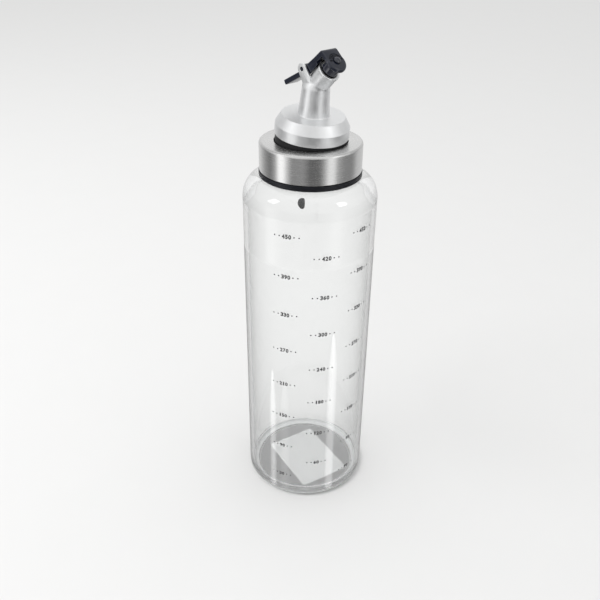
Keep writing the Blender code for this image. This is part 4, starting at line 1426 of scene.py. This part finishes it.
@dataclass
class Lever:
    """Black lever: a bar of rounded section along a bent path, closing plate, trunnions and plug."""

    place: PourerFrame
    width: float = 7.8
    knuckle_width: float = 8.8
    flare_start: float = 0.3
    flare_length: float = 4.5
    tab_length: float = 14.4
    tab_angle: float = math.radians(35.0)
    tab_drop: float = 0.1
    tab_thickness: float = 2.3
    barrel: float = 1.9
    arm_rise: float = 0.5
    arm_thickness: float = 2.4
    knuckle_reach: float = 6.7
    knuckle_round: float = 1.5
    bend_inset: float = 0.7
    knuckle_inset: float = 0.35
    plate_radius: float = 5.1
    plate: float = 2.2
    plug_radius: float = 3.65
    plug_length: float = 3.5
    plug_seat: float = 0.35
    plug_dome: float = 5.5
    neck_radius: float = 1.1
    button_radius: float = 1.7
    button_height: float = 0.9
    gap: float = SEAT_GAP
    trunnion: float = 0.85
    trunnion_reach: float = 4.85
    edge: float = 0.5
    skirt_outside: float = 3.85
    skirt_wall: float = 0.7
    skirt_root: float = 0.5
    skirt_gap: float = 0.5
    skirt_start: float = 2.6
    skirt_end: float = 0.7
    skirt_edge: float = 0.2
    columns: int = 96

    @property
    def underside(self) -> float:
        """Height of the closing plate's underside above the rim."""
        return self.plug_seat + self.plug_length + self.gap

    @property
    def topside(self) -> float:
        """Height of the closing plate's top above the rim."""
        return self.underside + self.plate

    def arm_frame(self) -> tuple[np.ndarray, np.ndarray, np.ndarray]:
        """Find where the arm runs.

        Returns:
            Outer corner of the knuckle, and the ways along and up from the arm.
        """
        axis, down = self.place.mouth_axis, self.place.mouth_down
        knuckle = self.place.mouth + axis * self.topside - down * self.knuckle_reach
        reach = knuckle - self.place.pin
        angle = math.atan2(reach[1], reach[0]) - math.asin(self.arm_rise / np.linalg.norm(reach))
        arm = np.array([math.cos(angle), math.sin(angle)])
        return knuckle, arm, np.array([-arm[1], arm[0]])

    def chains(self) -> tuple[np.ndarray, np.ndarray]:
        """Matched points of the bar's upper and lower side, from the tab's tip to the plate.

        Returns:
            Upper and lower points as (x, z).
        """
        pin = np.array(self.place.pin)
        mouth = np.array(self.place.mouth)
        axis, down = self.place.mouth_axis, self.place.mouth_down
        knuckle, arm, arm_up = self.arm_frame()
        tab = np.array([-math.cos(self.tab_angle), -math.sin(self.tab_angle)])
        tab_up = np.array([tab[1], -tab[0]])
        tip = pin + tab * self.tab_length - tab_up * self.tab_drop
        tab_joint = pin + tab * math.sqrt(self.barrel ** 2 - self.tab_drop ** 2) - tab_up * self.tab_drop
        arm_joint = pin + arm * math.sqrt(self.barrel ** 2 - self.arm_rise ** 2) + arm_up * self.arm_rise
        start = math.degrees(math.atan2(tab_joint[1] - pin[1], tab_joint[0] - pin[0])) % 360
        end = math.degrees(math.atan2(arm_joint[1] - pin[1], arm_joint[0] - pin[0]))
        round_start = knuckle - arm * self.knuckle_round
        round_end = knuckle + down * self.knuckle_round
        under_tip = tip - tab_up * self.tab_thickness
        under_arm = pin + arm_up * (self.arm_rise - self.arm_thickness)
        under_plate = mouth + axis * self.underside
        inner_bend = self.crossing(under_arm, arm, under_tip, tab)
        inner_knuckle = self.crossing(under_arm, arm, under_plate, down)
        soft, crisp = self.bend_inset, self.knuckle_inset
        upper = [straight(tip, tab_joint, 16), arc(pin, self.barrel, self.barrel, start, end, 20)[1:],
                 straight(arm_joint, round_start, 16)[1:], bow(round_start, knuckle, round_end, 14)[1:],
                 straight(round_end, mouth + axis * self.topside, 8)[1:]]
        lower = [straight(under_tip, inner_bend + tab * soft, 16),
                 bow(inner_bend + tab * soft, inner_bend, inner_bend + arm * soft, 20)[1:],
                 straight(inner_bend + arm * soft, inner_knuckle - arm * crisp, 16)[1:],
                 bow(inner_knuckle - arm * crisp, inner_knuckle, inner_knuckle + down * crisp, 14)[1:],
                 straight(inner_knuckle + down * crisp, under_plate, 8)[1:]]
        return np.concatenate(upper), np.concatenate(lower)

    @staticmethod
    def crossing(a: np.ndarray, way_a: np.ndarray, b: np.ndarray, way_b: np.ndarray) -> np.ndarray:
        """Find where two lines in a plane meet.

        Args:
            a: Point of the first line.
            way_a: Its direction.
            b: Point of the second line.
            way_b: Its direction.

        Returns:
            The point where they meet.
        """
        between = b - a
        share = (between[0] * way_b[1] - between[1] * way_b[0]) / (way_a[0] * way_b[1] - way_a[1] * way_b[0])
        return a + way_a * share

    def boxed(self, name: str, upper: np.ndarray, lower: np.ndarray, half_width: np.ndarray,
              edge: float, shift: np.ndarray) -> bpy.types.Object:
        """Rounded box section carried along two chains, closed by rounded ends.

        A section's corners are quarter arcs about (half width - e, half height - e), and at an
        end the section shrinks by e (1 - cos a) while it moves on by e sin a.

        Args:
            name: Name of the piece.
            upper: Points of the upper side as (x, z).
            lower: Matching points of the lower side.
            half_width: Half the width at each point.
            edge: Radius of the edges.
            shift: Place of the section's middle along Y at each point.

        Returns:
            The piece.
        """
        middle, tall = (upper + lower) / 2, (upper - lower) / 2
        half_height = np.linalg.norm(tall, axis=1)
        up = tall / half_height[:, None]
        quarter = np.radians(np.linspace(0, 90, 6))
        cosine, sine = np.cos(quarter), np.sin(quarter)
        signs = [(1, 1, cosine, sine), (-1, 1, sine, cosine), (-1, -1, cosine, sine), (1, -1, sine, cosine)]
        last = len(upper) - 1
        stations = [(0, -1, angle) for angle in (80, 50, 25)] + [(i, 0, 0) for i in range(last + 1)]
        stations += [(last, 1, angle) for angle in (25, 50, 80)]
        rows = []
        for i, way, degrees in stations:
            angle = math.radians(degrees)
            shrink = edge * (1 - math.cos(angle))
            w, h, e = half_width[i] - shrink, half_height[i] - shrink, max(edge - shrink, 0.05)
            across = np.concatenate([sx * (w - e + e * c) for sx, _, c, _ in signs]) + shift[i]
            height = np.concatenate([sz * (h - e + e * s) for _, sz, _, s in signs])
            spot = middle[i] + np.array([up[i][1], -up[i][0]]) * way * edge * math.sin(angle)
            rows.append(np.stack([spot[0] + up[i][0] * height, across, spot[1] + up[i][1] * height], axis=-1))
        for place in (0, len(rows)):
            end = rows[min(place, len(rows) - 1)]
            rows.insert(place, np.repeat(end.mean(axis=0)[None, :], len(end), axis=0))
        return grid_piece(name, self.place.leaned(np.stack(rows)))

    def half_width(self, x: np.ndarray) -> np.ndarray:
        """Half the bar's width, which grows ahead of the pivot."""
        share = np.clip((x - self.flare_start) / self.flare_length, 0, 1)
        return (self.width + (self.knuckle_width - self.width) * share) / 2

    def bar(self) -> bpy.types.Object:
        """Thumb tab, pivot barrel, arm and knuckle in one.

        Returns:
            The bar.
        """
        upper, lower = self.chains()
        half = self.half_width((upper + lower)[:, 0] / 2)
        return self.boxed("lever_bar", upper, lower, half, self.edge, 0 * half)

    def skirt(self, side: Side) -> bpy.types.Object:
        """Thin wall between the arm and the tube.

        Its lower edge keeps a gap to the tube: it lies sqrt(R^2 - y^2) + gap from the tube's axis,
        with y the skirt's inner face.

        Args:
            side: Side of the pourer that it hangs on.

        Returns:
            The wall.
        """
        tube = self.place.tube_axis
        out = np.array([-tube[1], tube[0]])
        inner_side = self.skirt_outside - self.skirt_wall
        height = math.sqrt(self.place.tube_radius ** 2 - inner_side ** 2) + self.skirt_gap
        start = self.place.elbow + tube * self.skirt_start
        lower = straight(start, self.place.mouth - tube * self.skirt_end, 16) + out * height
        _, arm, arm_up = self.arm_frame()
        root = self.place.pin + arm_up * (self.arm_rise - self.arm_thickness + self.skirt_root)
        upper = np.stack([self.crossing(root, arm, spot, out) for spot in lower])
        wider = self.half_width((upper + lower)[:, 0] / 2) / (self.width / 2)
        middle = side.value * (self.skirt_outside - self.skirt_wall / 2) * wider
        return self.boxed(f"lever_skirt_{side.name.lower()}", upper, lower, self.skirt_wall / 2 * wider,
                          self.skirt_edge, middle)

    def disc(self) -> bpy.types.Object:
        """Closing plate with the eye for the plug's button.

        Returns:
            The plate.
        """
        top = self.topside
        eye = self.neck_radius + self.gap
        profile = rounded([(eye, self.underside, 0.2), (self.plate_radius, self.underside, 0.8),
                           (self.plate_radius, top, 1.2), (eye, top, 0.3)], closed=True)
        grid = self.place.on_mouth(profile, self.columns)
        return grid_piece("closing_plate", self.place.leaned(grid), loop_rows=True)

    def plug(self) -> bpy.types.Object:
        """Silicone plug: domed nose, neck and button.

        Returns:
            The plug.
        """
        half = math.degrees(math.asin(self.plug_radius / self.plug_dome))
        centre = self.plug_seat + math.sqrt(self.plug_dome ** 2 - self.plug_radius ** 2)
        shoulder, button = self.underside - self.gap, self.topside + self.gap
        nose = arc((0.0, centre), self.plug_dome, self.plug_dome, -90, -90 + half, 12)
        body = rounded([tuple(nose[-1]) + (0,), (self.plug_radius, shoulder, 0.25),
                        (self.neck_radius, shoulder, 0.15), (self.neck_radius, button, 0)])
        head = arc((0.0, button), self.button_radius, self.button_height, 0, 90, 10)
        profile = np.concatenate([nose, body[1:], head])
        return grid_piece("plug", self.place.leaned(self.place.on_mouth(profile, 72)))

    def trunnions(self) -> bpy.types.Object:
        """Round bar through both ears, turned round Y.

        Returns:
            The bar.
        """
        reach = self.trunnion_reach
        profile = rounded([(0.0, -reach, 0), (self.trunnion, -reach, 0.2), (self.trunnion, reach, 0.2),
                           (0.0, reach, 0)])
        turned = revolve(profile, 48)
        grid = np.stack([turned[..., 0] + self.place.pin[0], turned[..., 2],
                         turned[..., 1] + self.place.pin[1]], axis=-1)
        return grid_piece("trunnions", self.place.leaned(grid))

    def build(self, fitter: Fitter) -> None:
        """Build the lever's six pieces.

        Args:
            fitter: What dresses and seats the pieces.
        """
        pieces = (self.bar(), *(self.skirt(side) for side in Side), self.disc(), self.trunnions())
        for piece in pieces:
            fitter.fit(piece, BLACK_PLASTIC, "lever", ["lever"])
        fitter.fit(self.plug(), PLUG_SILICONE, "lever", ["mouth_plug"])


# Studio


@dataclass
class Studio:
    """Pale floor and world, a soft key light, reflector cards that only shiny surfaces see, and a painted
    shadow disc under the bottle.

    Angles of cards are counted from the camera's direction, to the right in the picture. Windows
    are (first angle, last angle, bottom, top, level), and streaks are (angle on the bottle, angle
    of its wedge, length, half width in degrees, level).
    """

    floor_size: float = 40000.0
    floor_colour: tuple[float, float, float] = (0.72, 0.72, 0.716)
    floor_mottle: float = 0.985
    world_strength: float = 1.0
    key_power: float = 9.0
    key_size: float = 900.0
    key_reach: float = 900.0
    key_angle: float = -70.0
    key_height: float = 1200.0
    key_target: float = 100.0
    bottle_radius: float = BOTTLE_RADIUS
    wall_radius: float = 300.0
    wall_split: float = 215.0
    wall_height: float = 900.0
    camera_azimuth: float = 45.0
    low_bands: tuple[tuple[float, float], ...] = (
        (-180, 0.75), (-140, 0.8), (-115, 0.4), (-95, 0.2), (-80, 0.5), (-70, 1.6), (-60, 1.6), (-50, 0.8),
        (-40, 0.3), (-15, 0.35), (0, 0.12), (20, 0.15), (30, 0.5), (40, 1.2), (50, 1.2), (60, 0.5),
        (75, 0.3), (100, 0.3), (120, 0.7), (179, 0.75),
    )
    high_bands: tuple[tuple[float, float], ...] = (
        (-180, 0.97), (-110, 0.55), (-80, 1.0), (-50, 1.0), (0, 0.72), (45, 1.0), (75, 1.0), (110, 0.55),
        (179, 0.97),
    )
    counter: float = 0.46
    counter_share: float = 0.55
    counter_gap: float = 1.0
    counter_inset: float = 2.0
    counter_height: float = 0.2
    ring_points: int = 61
    # Grey disc under the bottle that only rays through the glass see, a painted shadow: its level, inset from
    # the bottle's edge and height.
    foot: float = 0.27
    foot_inset: float = 1.5
    foot_height: float = 0.02
    windows: tuple[tuple[float, float, float, float, float], ...] = (
        (-78, -61, 300, 460, 5.0), (51, 69, 300, 460, 5.0),
    )
    window_share: float = 0.36
    window_inset: float = 6.0
    window_points: int = 9
    streaks: tuple[tuple[float, float, float, float, float], ...] = (
        (-32.2, -67.8, 116, 4.4, 4.0), (-19.8, -41.6, 110, 6.5, 1.5), (24.1, 50.8, 167, 5.5, 4.0),
    )

    streak_height: float = 0.4
    streak_points: int = 16
    streak_fade: float = 0.35
    streak_taper: float = 0.6

    def seen_by(self, obj: bpy.types.Object, kept: Ray) -> None:
        """Let only one kind of ray see a stage object.

        Args:
            obj: The stage object.
            kept: The kind of ray.
        """
        for ray in ("camera", "diffuse", "glossy", "transmission", "volume_scatter", "shadow"):
            setattr(obj, "visible_" + ray, ray == kept.value)

    def heading(self, degrees: float) -> np.ndarray:
        """Unit direction on the floor at an angle from the camera's direction."""
        angle = math.radians(self.camera_azimuth - 90.0 + degrees)
        return np.array([math.cos(angle), math.sin(angle)])

    def floor(self) -> None:
        """Wide matt floor, pale and almost even."""
        half = self.floor_size / 2 * MM
        mesh = bpy.data.meshes.new("floor")
        mesh.from_pydata([(-half, -half, 0), (half, -half, 0), (half, half, 0), (-half, half, 0)], [],
                         [(0, 1, 2, 3)])
        floor = in_scene("floor", mesh)
        material, graph, shader = new_material("floor_paint")
        noise = graph.noise(graph.coordinates(), 30.0, 3.0)
        darker = tuple(channel * self.floor_mottle for channel in self.floor_colour)
        graph.join(graph.blend(noise, darker, self.floor_colour), shader.inputs["Base Color"])
        shader.inputs["Roughness"].default_value = 1.0
        shader.inputs["Specular IOR Level"].default_value = 0.0
        mesh.materials.append(material)

    def world(self) -> None:
        """Even pale world."""
        world = bpy.data.worlds.new("studio")
        world.use_nodes = True
        back = world.node_tree.nodes["Background"]
        back.inputs["Color"].default_value = (1.0, 1.0, 1.0, 1.0)
        back.inputs["Strength"].default_value = self.world_strength
        bpy.context.scene.world = world

    def key(self) -> None:
        """Large soft lamp above and to the left of the camera."""
        lamp = bpy.data.lights.new("key", "AREA")
        lamp.shape = "DISK"
        lamp.size = self.key_size * MM
        lamp.energy = self.key_power
        holder = in_scene("key", lamp)
        holder.location = (*(self.key_reach * MM * self.heading(self.key_angle)), self.key_height * MM)
        holder.rotation_mode = "QUATERNION"
        toward = Vector((0, 0, self.key_target * MM)) - holder.location
        holder.rotation_quaternion = toward.to_track_quat("-Z", "Y")
        holder.visible_glossy = False
        holder.visible_transmission = False

    def emitter(self, name: str) -> tuple[bpy.types.Material, Graph, bpy.types.Node]:
        """Material that only gives light.

        Args:
            name: Name of the material.

        Returns:
            The material, its graph and its emission node.
        """
        material, graph, shader = new_material(name)
        graph.tree.nodes.remove(shader)
        glow = graph.add("Emission")
        graph.join(glow.outputs[0], graph.tree.nodes["Material Output"].inputs["Surface"])
        return material, graph, glow

    def wall(self, name: str, bottom: float, top: float, bands: Sequence[tuple[float, float]]) -> None:
        """Round wall of grey cards whose brightness follows the angle.

        Args:
            name: Name of the wall.
            bottom: Height of its lower edge in millimetres.
            top: Height of its upper edge.
            bands: Angles in degrees and the brightness there.
        """
        grid = revolve(np.array([(self.wall_radius, bottom), (self.wall_radius, top)]), 96)
        wall = grid_piece(name, grid)
        material, graph, glow = self.emitter(name)
        turn = graph.add("Mapping", Rotation=(0.0, 0.0, math.radians(90.0 - self.camera_azimuth)))
        graph.join(graph.coordinates(), turn.inputs["Vector"])
        x, y, _ = graph.parts(turn.outputs[0])
        angle = graph.maths("ARCTAN2", y, x)
        ramp = graph.add("ValToRGB")
        stops = ramp.color_ramp.elements
        peak = max(level for _, level in bands)
        for i, (degrees, level) in enumerate(bands):
            position = (degrees + 180) / 360
            stop = stops[i] if i < 2 else stops.new(position)
            stop.position = position
            stop.color = (*3 * (level / peak,), 1.0)
        graph.join(graph.spread(angle, -math.pi, math.pi), ramp.inputs[0])
        graph.join(ramp.outputs[0], glow.inputs["Color"])
        glow.inputs["Strength"].default_value = peak
        wall.data.materials.append(material)
        self.seen_by(wall, Ray.GLOSSY)

    def card(self, name: str, first: np.ndarray, second: np.ndarray, level: float, soft: bool = False,
             kept: Ray = Ray.GLOSSY, rough_share: float = 1.0) -> None:
        """Card between two matching chains of points.

        Args:
            name: Name of the card.
            first: One side's points in millimetres.
            second: The other side's points.
            level: Brightness.
            soft: True if it fades toward both sides as 1 - (2u - 1)^2.
            kept: The kind of ray that sees it.
            rough_share: Share of its level in rough reflections; sharp ones see all of it.
        """
        count = len(first)
        mesh = bpy.data.meshes.new(name)
        mesh.from_pydata((np.concatenate([first, second]) * MM).tolist(), [],
                         [(i, i + 1, count + i + 1, count + i) for i in range(count - 1)])
        layer = mesh.uv_layers.new(name="UVMap")
        layer.data.foreach_set("uv", np.tile([0.0, 0, 0, 1, 1, 1, 1, 0], count - 1).astype(np.float32))
        card = in_scene(name, mesh)
        material, graph, glow = self.emitter(name)
        glow.inputs["Strength"].default_value = level
        if soft:
            across = graph.parts(graph.add("UVMap", uv_map="UVMap").outputs[0])[0]
            side = graph.maths("SUBTRACT", graph.maths("MULTIPLY", across, 2.0), 1.0)
            fade = graph.maths("SUBTRACT", 1.0, graph.maths("MULTIPLY", side, side))
            graph.join(graph.maths("MULTIPLY", fade, level), glow.inputs["Strength"])
        elif rough_share < 1.0:
            sharp = graph.add("LightPath").outputs["Is Singular Ray"]
            sharp = graph.maths("MULTIPLY", sharp, level * (1.0 - rough_share))
            graph.join(graph.maths("ADD", sharp, level * rough_share), glow.inputs["Strength"])
        mesh.materials.append(material)
        self.seen_by(card, kept)

    def ring(self, name: str, near: float, far: float, height: float, level: float, kept: Ray,
             rough_share: float = 1.0) -> None:
        """Card that lies round the bottle's axis, just above the floor.

        Args:
            name: Name of the card.
            near: Its inner radius in millimetres.
            far: Its outer radius.
            height: Its height above the floor.
            level: Brightness.
            kept: The kind of ray that sees it.
            rough_share: Share of its level in rough reflections.
        """
        spots = np.stack([self.heading(angle) for angle in np.linspace(0.0, 360.0, self.ring_points)])
        sides = [np.column_stack([spots * reach, np.full(len(spots), height)]) for reach in (near, far)]
        self.card(name, *sides, level, kept=kept, rough_share=rough_share)

    def window(self, name: str, left: float, right: float, bottom: float, top: float, level: float) -> None:
        """Bright card that stands just inside the wall.

        Args:
            name: Name of the card.
            left: First angle in degrees.
            right: Last angle.
            bottom: Height of its lower edge in millimetres.
            top: Height of its upper edge.
            level: Brightness.
        """
        spots = np.stack([self.heading(angle) for angle in np.linspace(left, right, self.window_points)])
        spots = spots * (self.wall_radius - self.window_inset)
        sides = [np.column_stack([spots, np.full(len(spots), height)]) for height in (bottom, top)]
        self.card(name, *sides, level, rough_share=self.window_share)

    def streak(self, name: str, start: float, way: float, reach: float, spread: float, level: float) -> None:
        """Bright wedge on the floor whose mirror image is an upright streak on the glass.

        A streak at the angle start of the bottle sends its rays along the angle way. The wedge
        starts at the streak's foot, and at the distance d it is 2 spread (2 d + r cos start) wide,
        until it narrows toward its end.

        Args:
            name: Name of the wedge.
            start: Angle of the streak on the bottle.
            way: Angle that the wedge runs along.
            reach: Length of the wedge in millimetres.
            spread: Half the streak's width in degrees.
            level: Brightness.
        """
        steps = np.linspace(0.02, 1, self.streak_points)
        away = self.heading(way)
        across = np.array([-away[1], away[0]])
        spots = self.bottle_radius * self.heading(start) + reach * steps[:, None] * away
        wide = 2 * reach * steps + self.bottle_radius * math.cos(math.radians(start))
        taper = np.clip((1 - steps) / self.streak_fade, 0, 1) ** self.streak_taper
        wide = math.radians(spread) * wide * taper
        height = np.full(len(steps), self.streak_height)
        sides = [np.column_stack([spots + sign * wide[:, None] * across, height]) for sign in (-1, 1)]
        self.card(name, *sides, level, soft=True)

    def build(self) -> None:
        """Build the studio."""
        self.floor()
        self.world()
        self.key()
        self.wall("low_wall", 1.0, self.wall_split, self.low_bands)
        self.wall("high_wall", self.wall_split, self.wall_height, self.high_bands)
        for i, window in enumerate(self.windows):
            self.window(f"window_card_{i}", *window)
        self.ring("counter_card", self.bottle_radius + self.counter_gap,
                  self.wall_radius - self.counter_inset, self.counter_height, self.counter, Ray.GLOSSY,
                  self.counter_share)
        # Grey disc under the bottle, seen only through the glass: a painted shadow of the bottle.
        self.ring("painted_shadow_card", 0.0, self.bottle_radius - self.foot_inset, self.foot_height, self.foot,
                  Ray.TRANSMISSION)
        for i, streak in enumerate(self.streaks):
            self.streak(f"streak_card_{i}", *streak)
        bpy.context.scene.view_settings.view_transform = "Standard"


@dataclass
class PhotoCamera:
    """Camera of the photograph, from the angles and distances that fit its marks and outlines."""

    distance: float = 322.69
    height: float = 300.54
    azimuth: float = math.radians(45.0)
    pitch: float = math.radians(30.656)
    yaw: float = math.radians(-0.733)
    roll: float = math.radians(0.755)
    focal_pixels: float = 713.99
    frame_pixels: float = 600.0
    sensor: float = 36.0
    near_clip: float = 0.01

    def build(self) -> None:
        """Set the camera up and make it the scene's."""
        ahead = Vector((math.sin(self.yaw) * math.cos(self.pitch),
                        math.cos(self.yaw) * math.cos(self.pitch), -math.sin(self.pitch)))
        level = Vector((math.cos(self.yaw), -math.sin(self.yaw), 0.0))
        above = level.cross(ahead)
        right = level * math.cos(self.roll) + above * math.sin(self.roll)
        up = above * math.cos(self.roll) - level * math.sin(self.roll)
        turn = Matrix.Rotation(self.azimuth, 4, "Z")
        axes = Matrix((right, up, -ahead)).transposed().to_4x4()
        data = bpy.data.cameras.new("photo_camera")
        data.sensor_width = self.sensor
        data.lens = self.focal_pixels / self.frame_pixels * self.sensor
        data.clip_start = self.near_clip
        camera = in_scene("photo_camera", data)
        camera.matrix_world = turn @ Matrix.Translation((0, -self.distance * MM, self.height * MM)) @ axes
        bpy.context.scene.camera = camera


def main() -> None:
    """Build the studio and every sub-assembly."""
    logging.basicConfig(level=logging.INFO, format="%(name)s: %(message)s")
    Studio().build()
    PhotoCamera().build()
    fitter = Fitter(FinishShop())
    place = PourerFrame()
    parts = (GlassBottle(), PrintedScale(), ScrewCap(), Stopper(place), PourerCasting(place),
             Lever(place))
    for part in parts:
        part.build(fitter)
        log.info("%s is built", type(part).__name__)
    bpy.context.view_layer.update()


if __name__ == "__main__":
    main()
